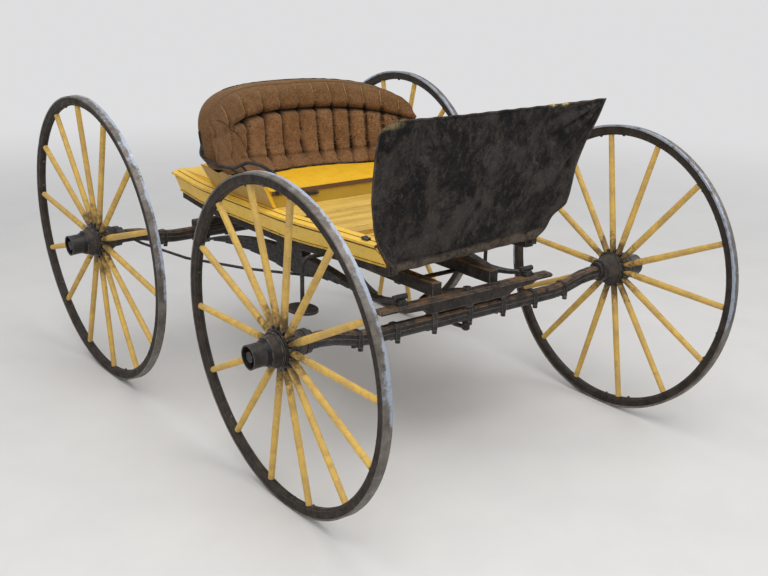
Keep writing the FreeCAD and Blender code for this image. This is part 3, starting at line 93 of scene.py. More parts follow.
# ------------------------------------------------------------------ materials
class Shade:
    """A procedural material, built node by node with short calls."""

    def __init__(self, name, **sockets):
        self.material = bpy.data.materials.new(name)
        self.material.use_nodes = True
        self.tree = self.material.node_tree
        self.bsdf = self.tree.nodes["Principled BSDF"]
        self.fill(self.bsdf, sockets)
        self.place = self.node("TexCoord").outputs["Object"]

    def link(self, value, socket):
        if isinstance(value, bpy.types.NodeSocket):
            self.tree.links.new(value, socket)
        elif socket.type == "RGBA" and len(value) == 3:
            socket.default_value = (*value, 1)
        else:
            socket.default_value = value

    def fill(self, node, inputs):
        """Sets a node's inputs to numbers, colours, vectors or other nodes' outputs."""
        for key, value in inputs.items():
            self.link(value, node.inputs[key.replace("_", " ")])

    def node(self, kind, **inputs):
        made = self.tree.nodes.new("ShaderNode" + kind)
        self.fill(made, inputs)
        return made

    def reckon(self, kind, operation, *values):
        """The outputs of a maths node for numbers or vectors."""
        node = self.node(kind)
        node.operation = operation
        for value, socket in zip(values, node.inputs):
            self.link(value, socket)
        return node.outputs

    def from_centre(self, centre):
        """Place measured from a point, such as the middle of a wheel."""
        return self.reckon("VectorMath", "SUBTRACT", self.place, centre)[0]

    def along(self, vector, direction):
        return self.reckon("VectorMath", "DOT_PRODUCT", vector, direction)["Value"]

    def length(self, vector):
        return self.reckon("VectorMath", "LENGTH", vector)["Value"]

    def math(self, operation, *values):
        return self.reckon("Math", operation, *values)[0]

    def stretch(self, scale, turn=(0, 0, 0)):
        return self.node("Mapping", Vector=self.place, Scale=scale, Rotation=turn).outputs[0]

    def noise(self, scale, detail=5, rough=0.6, at=None, warp=0.0):
        return self.node("TexNoise", Vector=at or self.place, Scale=scale, Detail=detail,
                         Roughness=rough, Distortion=warp).outputs["Fac"]

    def cells(self, scale):
        return self.node("TexVoronoi", Vector=self.place, Scale=scale).outputs["Distance"]

    def ramp(self, value, low, high, start=0.0, end=1.0):
        """A value taken from low..high to start..end, held at both ends."""
        node = self.node("MapRange", Value=value, From_Min=low, From_Max=high, To_Min=start,
                         To_Max=end)
        node.interpolation_type = "SMOOTHSTEP"
        return node.outputs[0]

    def mix(self, share, first, second):
        node = self.node("Mix")
        node.data_type = "RGBA"
        self.link(share, node.inputs[0])
        self.link(first, node.inputs[6])
        self.link(second, node.inputs[7])
        return node.outputs[2]

    def spots(self, low, high, scale, detail=5, rough=0.6, at=None):
        """Noise hardened into spots, 1 inside them and 0 outside."""
        return self.ramp(self.noise(scale, detail, rough, at), low, high)

    def over(self, colour, tint, share, strength=1.0):
        """A colour with a tint laid over it, by share times strength."""
        if strength != 1.0:
            share = self.math("MULTIPLY", share, strength)
        return self.mix(share, colour, tint)

    def axis(self, index, vector=None):
        return self.node("SeparateXYZ", Vector=vector or self.place).outputs[index]

    def facing(self, index):
        """The surface's own direction at rest, along one axis."""
        return self.axis(index, self.node("TexCoord").outputs["Normal"])

    def told(self, name):
        """A value that the mesh carries on its points."""
        node = self.node("Attribute")
        node.attribute_name = name
        return node.outputs["Fac"]

    def edges(self, reach, breaks):
        """1 on worn edges, 0 on open faces, the wear broken up by noise of a scale."""
        bevel = self.node("Bevel", Radius=reach)
        bevel.samples = 4
        flat = self.node("NewGeometry").outputs["True Normal"]
        bent = self.math("SUBTRACT", 1.0, self.along(bevel.outputs[0], flat))
        broken = self.math("MULTIPLY", bent, self.ramp(self.noise(breaks), 0.35, 0.65, 0, 3))
        return self.ramp(broken, 0.03, 0.25)

    def bump(self, height, strength, distance):
        node = self.node("Bump", Strength=strength, Distance=distance, Height=height)
        self.link(node.outputs[0], self.bsdf.inputs["Normal"])

    def done(self, colour, rough=None):
        self.link(colour, self.bsdf.inputs["Base Color"])
        if rough is not None:
            self.link(rough, self.bsdf.inputs["Roughness"])
        return self.material


def paint(name, bright, dull, grime=0.45, specks=0.6, along=(1, 1, 1), brown_ends=False,
          side_dull=False, painted_light_tint=None, streaks=0.0):
    """Old yellow coach paint: fading, dust, brown specks, chips, rubbed edges, and painted light on up
    or front faces.
    """
    m = Shade(name, Specular_IOR_Level=0.35)
    at = m.stretch(along)
    faded = tuple(0.8 * b + 0.2 * d for b, d in zip(bright, dull))
    colour = m.over(bright, faded, m.spots(0.35, 0.65, 6, 4))
    if side_dull:
        face = m.math("MULTIPLY", m.ramp(m.facing(2), -0.20, -0.28), m.ramp(m.facing(2), -0.6, -0.5))
        colour = m.over(colour, dull, face, m.ramp(m.noise(9, 6, 0.65), 0.2, 0.55, 0.55, 1))
    if painted_light_tint:
        # painted light: a brighter tint on faces turned up or to the front, towards the lamps
        ahead = m.math("MAXIMUM", m.ramp(m.facing(1), -0.4, -0.6), m.ramp(m.facing(2), 0.5, 0.7))
        colour = m.over(colour, painted_light_tint, ahead)
    dust = m.spots(0.50, 0.72, 26, 8, 0.75, at)
    colour = m.over(colour, tuple(0.55 * d for d in dull), dust, grime)
    if streaks:
        board = m.noise(17, 7, 0.7, m.stretch((0.07, 1, 1)))
        colour = m.over(colour, tuple(0.55 * b for b in bright), m.ramp(board, 0.46, 0.60, 0, streaks))
        line = m.noise(75, 5, 0.7, m.stretch((0.04, 1, 1)))
        colour = m.over(colour, (0.16, 0.085, 0.022), m.ramp(line, 0.60, 0.68, 0, streaks))
    colour = m.over(colour, (0.20, 0.12, 0.045), m.spots(0.60, 0.70, 330, 3, 0.6, at), specks)
    colour = m.over(colour, (0.07, 0.04, 0.02), m.spots(0.665, 0.69, 60, 8, 0.8), 0.8)
    if brown_ends:
        colour = m.over(colour, (0.13, 0.065, 0.03), m.ramp(m.facing(1), -0.45, -0.6))
    colour = m.over(colour, (0.16, 0.085, 0.035), m.edges(0.003, 50))
    m.bump(m.noise(120, 7, 0.6, at), 0.22, 0.001)
    return m.done(colour, m.ramp(m.noise(30), 0.3, 0.7, 0.38, 0.68))


def iron(name, wear, rub, polish, pits):
    """Black iron, rusted in places, rubbed bare on faces and edges."""
    m = Shade(name, Specular_IOR_Level=0.34)
    colour = m.over((0.009, 0.008, 0.008), (0.032, 0.028, 0.026), m.spots(0.35, 0.7, 34, 8, 0.7))
    rust = m.ramp(m.noise(18, 8, 0.75, warp=0.5), 0.56, 0.74)
    colour = m.over(colour, (0.12, 0.065, 0.035), rust, 0.5)
    colour = m.over(colour, wear, m.spots(0.55, 0.66, 11, 9, 0.8), rub)
    colour = m.over(colour, wear, m.edges(0.0025, 90))
    m.bump(m.noise(170, 8, 0.7), pits, 0.0014)
    return m.done(colour, m.ramp(m.noise(60), 0.3, 0.7, polish, 2 * polish))


def worn_steel_painted_glint(name, centre, inward):
    """Dark brown tyre with a painted blue-grey reflection, patchy, on the tread's inner half and
    strongest on the wheel's upper part.
    """
    m = Shade(name, Metallic=0.35, Specular_IOR_Level=0.5)
    here = m.from_centre(centre)
    colour = m.over((0.075, 0.062, 0.052), (0.200, 0.178, 0.152), m.spots(0.34, 0.66, 14, 9, 0.78))
    # painted reflection: blue-grey on the tread's inner half and on the upper part of the wheel at
    # rest, broken up by noise
    inner = m.ramp(m.along(here, inward), -0.002, 0.009, -0.07, 0.12)
    high = m.ramp(m.along(here, (0, 0, 1)), -0.22, 0.02, -0.20, 0.05)
    painted_glint = m.math("ADD", m.math("ADD", m.noise(11, 9, 0.78), inner), high)
    colour = m.over(colour, (0.33, 0.37, 0.44), m.ramp(painted_glint, 0.53, 0.66))
    colour = m.over(colour, (0.48, 0.48, 0.49), m.spots(0.62, 0.68, 44, 9, 0.8), 0.35)
    colour = m.over(colour, (0.075, 0.052, 0.036), m.spots(0.53, 0.64, 27, 9, 0.78), 0.65)
    m.bump(m.noise(120, 9, 0.75), 0.45, 0.0014)
    return m.done(colour, m.ramp(m.noise(45), 0.3, 0.7, 0.34, 0.66))


def dark_wood(name, light, dark, chip=(0.30, 0.20, 0.12), chips=0.4, wear=(0.30, 0.22, 0.15),
              worn_top=None, nose=None):
    """Dark paint on wood, chipped and rubbed, and blacker iron on a hub's outer end; worn_top is brown
    on up-facing faces, part rubbed paint, part painted highlight.
    """
    m = Shade(name, Specular_IOR_Level=0.22)
    colour = m.over(dark, light, m.spots(0.3, 0.7, 22, 9, 0.72))
    chipped = m.spots(0.60, 0.66, 30, 9, 0.8)
    colour = m.over(colour, chip, chipped, chips)
    colour = m.over(colour, tuple(1.6 * c for c in light), m.spots(0.62, 0.70, 210, 3), 0.5)
    if worn_top:
        # brown on faces turned up, broken by noise: partly rubbed paint, partly painted highlight
        top = m.math("MULTIPLY", m.ramp(m.facing(2), 0.6, 0.8), m.spots(0.42, 0.62, 16, 9, 0.8))
        colour = m.over(colour, worn_top, top)
    colour = m.over(colour, wear, m.edges(0.003, 60))
    gloss = m.ramp(m.noise(50), 0.3, 0.7, 0.5, 0.8)
    if nose:
        outboard = m.along(m.from_centre(nose[0]), nose[1])
        colour = m.over(colour, (0.006, 0.0055, 0.006), m.ramp(outboard, 0.046, 0.050))
        gloss = m.math("SUBTRACT", gloss, m.ramp(outboard, 0.046, 0.050, 0, 0.3))
    m.bump(m.math("ADD", m.noise(60, 9, 0.75), m.math("MULTIPLY", chipped, 0.4)), 0.4, 0.0018)
    return m.done(colour, gloss)


def spoke_paint(name, centre):
    """Yellow spokes, flecked and dusty, brown-black with grime towards the hub."""
    m = Shade(name, Specular_IOR_Level=0.3)
    reach = m.length(m.from_centre(centre))
    colour = m.over((0.66, 0.42, 0.090), (0.50, 0.32, 0.095), m.spots(0.35, 0.65, 13, 5, 0.65))
    colour = m.over(colour, (0.34, 0.215, 0.08), m.spots(0.46, 0.68, 42, 8, 0.75), 0.6)
    grime = m.math("ADD", m.ramp(reach, 0.070, 0.21, 0.30, -0.02), m.noise(38, 9, 0.8))
    colour = m.over(colour, (0.070, 0.042, 0.020), m.ramp(grime, 0.62, 0.84, 0, 0.88))
    colour = m.over(colour, (0.22, 0.13, 0.05), m.spots(0.57, 0.67, 380, 3), 0.5)
    colour = m.over(colour, (0.07, 0.045, 0.027), m.spots(0.645, 0.67, 75, 8, 0.8), 0.85)
    m.bump(m.noise(150, 7, 0.7), 0.3, 0.001)
    return m.done(colour, m.ramp(m.noise(50), 0.3, 0.7, 0.48, 0.75))


def leather():
    """Old black leather, clouded brown-grey with age, scuffed, brown along worn edges."""
    m = Shade("black_leather", Specular_IOR_Level=0.13)
    tilted = m.stretch((1, 1, 0.70), (0, 0.70, 0))
    cloud = m.noise(7, 9, 0.75, tilted, warp=0.4)
    colour = m.over((0.0045, 0.0040, 0.0046), (0.038, 0.032, 0.028), m.ramp(cloud, 0.44, 0.60))
    streaks = m.noise(46, 9, 0.85, tilted, warp=0.4)
    colour = m.over(colour, (0.066, 0.054, 0.044), m.ramp(streaks, 0.47, 0.66, 0, 0.8))
    grey = m.math("MULTIPLY", m.spots(0.52, 0.66, 120, 4, 0.7), m.ramp(cloud, 0.45, 0.6))
    colour = m.over(colour, (0.085, 0.080, 0.082), grey, 0.5)
    worn = m.math("MULTIPLY", m.told("hem"), m.spots(0.36, 0.60, 30, 9, 0.8))
    colour = m.over(colour, (0.120, 0.092, 0.068), worn, 0.85)
    colour = m.over(colour, (0.11, 0.09, 0.075), m.spots(0.62, 0.70, 260, 3, 0.7), 0.35)
    colour = m.over(colour, (0.52, 0.40, 0.16), m.told("bare"), m.spots(0.40, 0.55, 70, 8, 0.75))
    m.bump(m.math("ADD", m.cells(210), m.noise(70, 8, 0.7)), 0.38, 0.0015)
    return m.done(colour, m.ramp(m.noise(20), 0.3, 0.7, 0.38, 0.72))


def velour():
    """Brown velour: lighter tan on the top roll, painted shade at the near end, and painted shade near
    black in its folds.
    """
    m = Shade("brown_velour", Sheen_Weight=0.35, Sheen_Roughness=0.5,
              Sheen_Tint=(0.70, 0.48, 0.30, 1), Specular_IOR_Level=0.08)
    colour = m.over((0.170, 0.080, 0.032), (0.270, 0.140, 0.062), m.spots(0.3, 0.7, 12, 6, 0.65))
    tan = m.ramp(m.noise(20, 7, 0.7), 0.35, 0.65, 0.10, 0.65)
    colour = m.over(colour, (0.205, 0.120, 0.050), m.ramp(m.axis(2), 0.99, 1.075), tan)
    colour = m.over(colour, (0.090, 0.046, 0.018), m.ramp(m.axis(2), 0.965, 0.995, 0, 0.30))
    # painted shade on the near end of the back, where x runs below -0.18
    colour = m.over(colour, (0.085, 0.040, 0.017), m.ramp(m.axis(0), -0.18, -0.34, 0, 0.58))
    colour = m.over(colour, (0.066, 0.030, 0.012), m.ramp(m.noise(150, 5, 0.75), 0.42, 0.60, 0, 0.62))
    fibres = m.noise(480, 3)
    colour = m.over(colour, (0.050, 0.022, 0.009), m.ramp(fibres, 0.42, 0.66, 0, 0.50))
    flecks = m.spots(0.60, 0.68, 320, 3, 0.6, m.stretch((1, 1, 0.6)))
    colour = m.over(colour, (0.40, 0.25, 0.13), flecks, 0.55)
    # painted shade, near black, in the pad's folds
    colour = m.over(colour, (0.006, 0.004, 0.003), m.told("painted_fold_shade"))
    m.bump(fibres, 0.45, 0.0014)
    return m.done(colour, 0.92)


def thread():
    m = Shade("tan_thread", Specular_IOR_Level=0.2)
    m.bump(m.noise(900, 2, 0.5), 0.3, 0.0005)
    return m.done(m.over((0.42, 0.27, 0.12), (0.24, 0.14, 0.06), m.spots(0.4, 0.6, 60)), 0.8)


MATERIALS = {
    "felloe_wood": dark_wood("felloe_wood", (0.040, 0.030, 0.023), (0.013, 0.010, 0.008),
                             chip=(0.11, 0.08, 0.06), wear=(0.12, 0.095, 0.075)),
    "black_iron": iron("black_iron", (0.19, 0.165, 0.14), rub=0.4, polish=0.36, pits=0.4),
    "spring_steel": iron("spring_steel", (0.10, 0.095, 0.10), rub=0.2, polish=0.36, pits=0.12),
    "nose": iron("hub_nose", (0.10, 0.09, 0.08), rub=0.15, polish=0.22, pits=0.4),
    # gear_wood's worn_top brown is partly a painted highlight on the gear's tops
    "gear_wood": dark_wood("gear_wood", (0.045, 0.036, 0.030), (0.010, 0.009, 0.009),
                           chip=(0.20, 0.12, 0.07), chips=0.6, wear=(0.26, 0.20, 0.15),
                           worn_top=(0.19, 0.105, 0.050)),
    "body_yellow": paint("body_yellow", (0.79, 0.48, 0.055), (0.93, 0.62, 0.115),
                         brown_ends=True, side_dull=True),
    # seat_olive as lit and shaded copies of one paint: bright yellow painted light on faces turned up
    # or forward, darker olive painted shade on the rest
    "seat_olive": paint("seat_olive", (0.50, 0.315, 0.088), (0.42, 0.27, 0.075), 0.3, 0.5,
                        painted_light_tint=(0.80, 0.47, 0.035)),
    "seat_cloth": velour(),
    "black_leather": leather(),
    "floor": paint("floor_yellow", (0.67, 0.425, 0.084), (0.46, 0.30, 0.075), 0.7, 0.8,
                   (0.15, 1, 1), streaks=0.6),
    # the seat's front panel: darker ochre as painted shade under the seat board
    "panel": paint("panel_painted_shade", (0.46, 0.30, 0.036), (0.40, 0.25, 0.035), 0.4, 0.4),
    "board": paint("board_yellow", (0.78, 0.43, 0.011), (0.62, 0.37, 0.03), 0.3, 0.45,
                   brown_ends=True, streaks=0.12),
    "stripe": dark_wood("stripe_brown", (0.085, 0.045, 0.022), (0.035, 0.018, 0.010)),
    "stitching": thread(),
}
WHEELS = ("front_right", "front_left", "rear_right", "rear_left")
OWN_FINISH = {"body_floor": "floor", "seat_board": "board", "seat_front_panel": "panel"}
LEAN_OF_TYRE = 0.052
for wheel in WHEELS:
    low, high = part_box(f"{wheel}_tyre")
    middle, inner_side = (low + high) / 2, (1 if low.x < 0 else -1)
    inward = (inner_side, 0, LEAN_OF_TYRE)
    MATERIALS[f"{wheel}_tyre"] = worn_steel_painted_glint(f"{wheel}_steel", middle, inward)
    MATERIALS[f"{wheel}_spokes"] = spoke_paint(f"{wheel}_spoke_paint", middle)
    MATERIALS[f"{wheel}_hub"] = dark_wood(
        f"{wheel}_hub_wood", (0.066, 0.052, 0.041), (0.013, 0.011, 0.009),
        chip=(0.20, 0.155, 0.11), chips=0.7, wear=(0.22, 0.175, 0.13),
        nose=(middle, (-inner_side, 0, -LEAN_OF_TYRE)))
    MATERIALS[f"{wheel}_hub_irons"] = MATERIALS["nose"]
for item in frame["record"]["subparts"]:
    node = item["node"]
    finish = node if node in MATERIALS else OWN_FINISH.get(node, item["material_slot"])
    mesh = NODES[node].data
    mesh.materials.clear()
    mesh.materials.append(MATERIALS[finish])

# ------------------------------------------------------------------ tufted seat back
PAD_LOW, PAD_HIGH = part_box("seat_back_pad")
# the back bends about an upright axis ahead of it and widens upwards as a cone does: the pad's
# radius at its foot, how much wider it grows for each metre up, half the oval's height, the
# pad's depth at its foot, and how far behind the axis the board reaches
SWEEP, LEAN, TALL, THICK = 0.535, math.tan(math.radians(14)), 0.160, 0.0695
BOARD_REAR = 0.6916
AXIS_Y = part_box("seat_back_board")[1].y - BOARD_REAR
MIDDLE = PAD_HIGH.z - TALL
# bearing from the back's axis in degrees at the lower tufts, the long seam and the top edge,
# height of the lower tuft and of the seam, how well the stitching has held
TUFTS = np.array([
    (-62, -60, -58, 0.880, 0.925, 0.10), (-50, -46, -46, 0.874, 0.945, 0.12),
    (-39, -34, -35, 0.866, 0.964, 0.22), (-26.5, -22.2, -23.5, 0.850, 0.980, 1.00),
    (-15.2, -12.4, -13.6, 0.841, 0.989, 1.00), (-6, -4.2, -5.2, 0.835, 0.991, 1.00),
    (2.2, 3.5, 2.8, 0.833, 0.991, 1.00), (9.8, 10.2, 9.0, 0.832, 0.991, 1.00),
    (16.7, 16.8, 15.2, 0.834, 0.989, 1.00), (23.4, 23.0, 21.2, 0.837, 0.985, 1.00),
    (30.1, 29.3, 27.4, 0.842, 0.979, 1.00), (36.8, 35.6, 34.2, 0.849, 0.969, 0.95),
    (43.4, 42.0, 41.0, 0.858, 0.955, 0.90), (50, 49, 49, 0.868, 0.938, 0.80),
    (62, 60, 58, 0.880, 0.915, 0.50)])


def dome(distance, reach):
    """0 at a seam, rising round to 1 at reach from it."""
    near = 1 - np.clip(distance / reach, 0, 1)
    return np.sqrt(1 - near * near)


def dip(distance, reach):
    """1 at a seam, falling off smoothly with distance from it."""
    return np.exp(-(distance / reach) ** 2)


def on_back(bearing, z, forward):
    """Places ahead of the back board's face, from a bearing in radians and a height."""
    radius = SWEEP + THICK + (z - PAD_LOW.z) * LEAN - forward
    return np.stack([radius * np.sin(bearing), AXIS_Y + radius * np.cos(bearing), z], -1)


def bearing_at(flat, forward):
    """Bearings in radians of places given as x and z, on a surface forward of the board."""
    radius = SWEEP + THICK + (flat[:, 1] - PAD_LOW.z) * LEAN - forward
    return np.arcsin(np.clip(flat[:, 0] / radius, -1, 1))


def tufted(bearing, z):
    """Thickness of the pad and painted shade in its folds at bearings (degrees) and heights."""
    low, seam, top, low_z, seam_z, held = TUFTS.T
    zs = np.interp(bearing, seam, seam_z)
    zl = np.interp(bearing, low, low_z)
    hold = np.interp(bearing, seam, held)
    lower = np.clip((z - zl) / (zs - zl), 0, 1)[:, None]
    upper = np.clip((z - zs) / (PAD_HIGH.z - zs), 0, 1)[:, None]
    lines = low + (seam - low) * lower + (top - seam) * upper
    radius = SWEEP + (z - PAD_LOW.z) * LEAN
    cell = np.clip((lines < bearing[:, None]).sum(1) - 1, 0, len(TUFTS) - 2)
    rows = np.arange(len(bearing))
    left = np.radians(bearing - lines[rows, cell]) * radius
    right = np.radians(lines[rows, cell + 1] - bearing) * radius
    side = np.minimum(left, right)
    half = (left + right) / 2
    nearest = np.where(left < right, held[cell], held[cell + 1])
    # long channels with rounded tops, closing to a pit at each lower tuft
    seam_half = 0.0025
    drop, corner = zs - z - seam_half, 0.50 * half
    gape = 0.0030 * np.clip(1 - 3.2 * lower[:, 0], 0, 1) + 0.0003
    beside = side - gape
    bent = corner - np.hypot(corner - beside, corner - drop)
    edge = np.where((beside < corner) & (drop < corner), bent, np.minimum(beside, drop))
    pit = dip(np.hypot(side, (z - zl) * 0.55), 0.0075)
    channel = dome(np.maximum(edge, 0), 0.40 * half) ** 0.7 * (1 - 0.13 * dip(z - zl, 0.004))
    channel = channel * (0.93 + 0.07 * dome(side, half))
    # the roll above the seam, gathered in pleats
    climb = z - zs - seam_half
    spike = dip(np.hypot(side, np.maximum(climb, 0) * 0.45), 0.0055)
    pleat = dip(side, 0.006 + 0.05 * np.clip(climb, 0, 1)) * np.clip(1 - climb / 0.16, 0.25, 1)
    roll = dome(np.maximum(climb, 0), 0.030) * (1 - 0.34 * pleat) * (1 - 0.8 * spike) * 1.05
    # the short row below the tufts
    skirt = 0.80 + 0.12 * dome(side, 0.7 * half) - 0.14 * dip(side, 0.0035)
    height = np.where(z > zs, roll, np.where(z > zl, channel, skirt))
    height = np.where(np.abs(z - zl) < 0.012, np.minimum(height, 0.78 + 0.22 * np.clip(
        np.abs(z - zl) / 0.012, 0, 1)), height) * (1 - 0.85 * pit)
    weak = np.where((z < zs) & (z > zl), nearest, np.maximum(hold, nearest * 0.5))
    weak = np.where(z > zs, np.maximum(hold, dome(np.maximum(climb, 0), 0.02) * 0.6), weak)
    height = 1 - weak * (1 - height)
    x = radius * np.sin(np.radians(bearing))
    reach = (np.abs(x / PAD_HIGH.x) ** 3 + np.abs((z - MIDDLE) / TALL) ** 3) ** (1 / 3)
    flat = (np.abs(x / PAD_HIGH.x) ** 3 + np.abs(0.7 * (z - MIDDLE) / TALL) ** 3) ** (1 / 3)
    foot = np.clip((MIDDLE - z) / 0.06, 0, 1) * np.clip((0.36 - np.abs(x)) / 0.12, 0, 1)
    round_off = (np.clip(1 - reach ** 9, 0, 1) ** 0.45 * (1 - foot) +
                 np.clip(1 - flat ** 12, 0, 1) ** 0.4 * foot)
    lumps = (np.sin(61 * x + 3 * np.sin(47 * z)) * np.sin(83 * z + 1.7) +
             0.6 * np.sin(140 * x + 90 * z)) * 0.0011
    thick = round_off * (0.030 + 0.037 * height + lumps) + 0.004
    thick += 0.030 * np.clip((0.874 - z) / 0.075, 0, 1) * round_off
    # painted shade of the folds: darkest where the pad sinks, the more where the stitching has held,
    # eased along the long seam
    seam_only = dip(z - zs, 0.012) * (1 - dip(side, 0.016))
    return thick, weak * np.clip(1.15 * (1 - height), 0, 1) ** 1.15 * (1 - 0.45 * seam_only)


def on_pad(bearing, z, above):
    """Places on the pad's face or above it, from bearings in degrees and heights."""
    bearing, z = np.asarray(bearing, float), np.asarray(z, float)
    return on_back(np.radians(bearing), z, tufted(bearing, z)[0] + above)


def pad_outline(angle):
    """Outline of the back, an oval squared off, kept above the seat board and its box."""
    box_half, run, rise, gap = 0.285, 0.035, 0.0315, 0.0012
    c, s = math.cos(angle), math.sin(angle)
    x = PAD_HIGH.x * math.copysign(abs(c) ** (2 / 3), c)
    z = MIDDLE + TALL * math.copysign(abs(s) ** (2 / 3), s)
    share = min(1, max(0, (abs(x) - box_half) / run))
    return x, max(z, PAD_LOW.z + gap + rise * share * share * (3 - 2 * share))


def settled(flat):
    """Bearing, thickness and painted shade of the folds of the pad at places given as x and z."""
    thick = np.full(len(flat), 0.03)
    for _ in range(3):
        bearing = bearing_at(flat, thick)
        thick, dark = tufted(np.degrees(bearing), flat[:, 1])
    return bearing, thick, dark


def riding(name, mesh, body="wagon"):
    """A mesh as a piece of the scene that rides a body."""
    piece = placed(name, mesh)
    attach(piece, body)
    return piece


def dress(piece, slot, finish=None):
    """Gives a piece the finish of its slot, or another finish when one is named."""
    piece.data.materials.append(MATERIALS[finish or slot])


def tell(piece, name, values):
    """Writes a value on each point of a mesh, for its material to read."""
    piece.data.attributes.new(name, "FLOAT", "POINT").data.foreach_set("value", values)


def smooth_mesh(name, points, faces):
    mesh = bpy.data.meshes.new(name)
    mesh.from_pydata([tuple(p) for p in points], [], faces)
    mesh.validate()
    mesh.polygons.foreach_set("use_smooth", [True] * len(mesh.polygons))
    return riding(name, mesh)


def tube(name, runs, radius, body="wagon", sides=3):
    """Round piping, thread or bar along each run of points, as one mesh."""
    curve = bpy.data.curves.new(name, "CURVE")
    curve.dimensions = "3D"
    curve.bevel_depth = radius
    curve.bevel_resolution = sides
    curve.use_fill_caps = True
    for run in runs:
        spline = curve.splines.new("NURBS")
        spline.points.add(len(run) - 1)
        for point, place in zip(spline.points, run):
            point.co = (*place, 1)
        spline.order_u = 3
        spline.use_endpoint_u = True
    maker = bpy.data.objects.new(name, curve)
    mesh = bpy.data.meshes.new_from_object(maker)
    bpy.data.objects.remove(maker)
    mesh.polygons.foreach_set("use_smooth", [True] * len(mesh.polygons))
    return riding(name, mesh, body)


def add_pad():
    """The pad's face from its middle line out to the rim, and its flat back."""
    around, steps, back_steps = 560, 52, 6
    rim = np.array([pad_outline(2 * math.pi * (index + 0.5) / around) for index in range(around)])
    spine = np.stack([rim[:, 0] * 0.70, np.full(around, MIDDLE)], -1)
    crowding = 1.5
    shares = [1 - (1 - step / steps) ** crowding for step in range(steps + 1)]
    flat = np.concatenate([spine + (rim - spine) * share for share in shares])
    bearing, thick, dark = settled(flat)
    points, faces = [on_back(bearing, flat[:, 1], thick)], []
    for step in range(1, back_steps + 1):
        ring = rim + (spine - rim) * step / back_steps
        points.append(on_back(bearing_at(ring, 0.0), ring[:, 1], 0.0))
    total = steps + 1 + back_steps
    for step in range(total - 1):
        for index in range(around):
            after = (index + 1) % around
            a, b = step * around, (step + 1) * around
            faces.append((a + index, a + after, b + after, b + index))
    pad = smooth_mesh("tufted_back", np.concatenate(points), faces)
    mesh = bmesh.new()
    mesh.from_mesh(pad.data)
    # painted shade of the folds, carried on the points for the velour to read
    layer = mesh.verts.layers.float.new("painted_fold_shade")
    mesh.verts.ensure_lookup_table()
    for index, shade in enumerate(dark):
        mesh.verts[index][layer] = shade
    bmesh.ops.remove_doubles(mesh, verts=mesh.verts, dist=0.0006)
    bmesh.ops.recalc_face_normals(mesh, faces=mesh.faces)
    mesh.to_mesh(pad.data)
    mesh.free()
    dress(pad, "seat_cloth")
    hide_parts("seat_back_pad")


def add_stitching():
    """Thread along the pleats of the roll, wherever the roll is tall enough for them."""
    pleats = []
    brow = SWEEP + THICK + (PAD_HIGH.z - PAD_LOW.z) * LEAN - 0.03
    for _, seam, top, _, seam_z, _ in TUFTS[2:-2]:
        x = abs(brow * math.sin(math.radians(top)))
        crest = MIDDLE + TALL * max(0.0, 1 - (x / PAD_HIGH.x) ** 3) ** (1 / 3) - 0.007
        if crest < seam_z + 0.05:
            continue
        heights = np.linspace(seam_z + 0.022, crest, 22)
        share = (heights - seam_z) / (PAD_HIGH.z - seam_z)
        pleats.append(on_pad(seam + (top - seam) * share, heights, 0.0004))
    seams = tube("pleat_stitching", pleats, 0.0009, sides=2)
    seams.data.materials.append(MATERIALS["stitching"])


def add_piping():
    """Leather piping round the back's top, in three lengths, and along its foot."""
    piping = []
    for first, last in ((0.06, 0.40), (0.41, 0.595), (0.60, 0.655)):
        run = []
        for index, share in enumerate(np.linspace(first, last, 25)):
            x, z = pad_outline(math.pi * share)
            wave = 0.0012 * math.sin(index * 1.9 + first * 30)
            bearing = bearing_at(np.array([[x, z]]), 0.004)[0]
            back = 0.010 * min(1, max(0, share - 0.50) / 0.12)
            run.append(on_back(bearing, z + 0.001 + wave, 0.005 + wave - back))
        piping.append(run)
    count = 33
    bearing = np.linspace(-33, 33, count)
    thick = tufted(bearing, np.full(count, PAD_LOW.z + 0.003))[0]
    piping.append(on_back(np.radians(bearing), np.full(count, PAD_LOW.z + 0.0036),
                          thick + 0.001 * np.sin(np.arange(count) * 2.3)))
    dress(tube("back_piping", piping, 0.0034), "black_leather")


def add_loose_threads():
    """Broken threads hanging over the pad's near end, as bearings in degrees and heights."""
    loose = [[(-49, 1.024), (-45, 1.018), (-41.8, 1.010), (-40, 0.999), (-37.5, 0.988),
              (-36.3, 0.975), (-33.9, 0.964), (-31.2, 0.948), (-29.4, 0.918), (-27.8, 0.888),
              (-27.3, 0.858)],
             [(-33.9, 0.964), (-32.2, 0.985), (-31.2, 1.003), (-30, 1.001), (-29.8, 0.985),
              (-30.6, 0.966), (-32.4, 0.956)]]
    narrowed, shifted, lowered = 0.84, 4, 0.010
    threads = [[on_pad([narrowed * bearing - shifted], [z - lowered], 0.0006)[0]
                for bearing, z in run] for run in loose]
    strands = tube("loose_threads", threads, 0.0008, sides=2)
    strands.data.materials.append(MATERIALS["black_leather"])


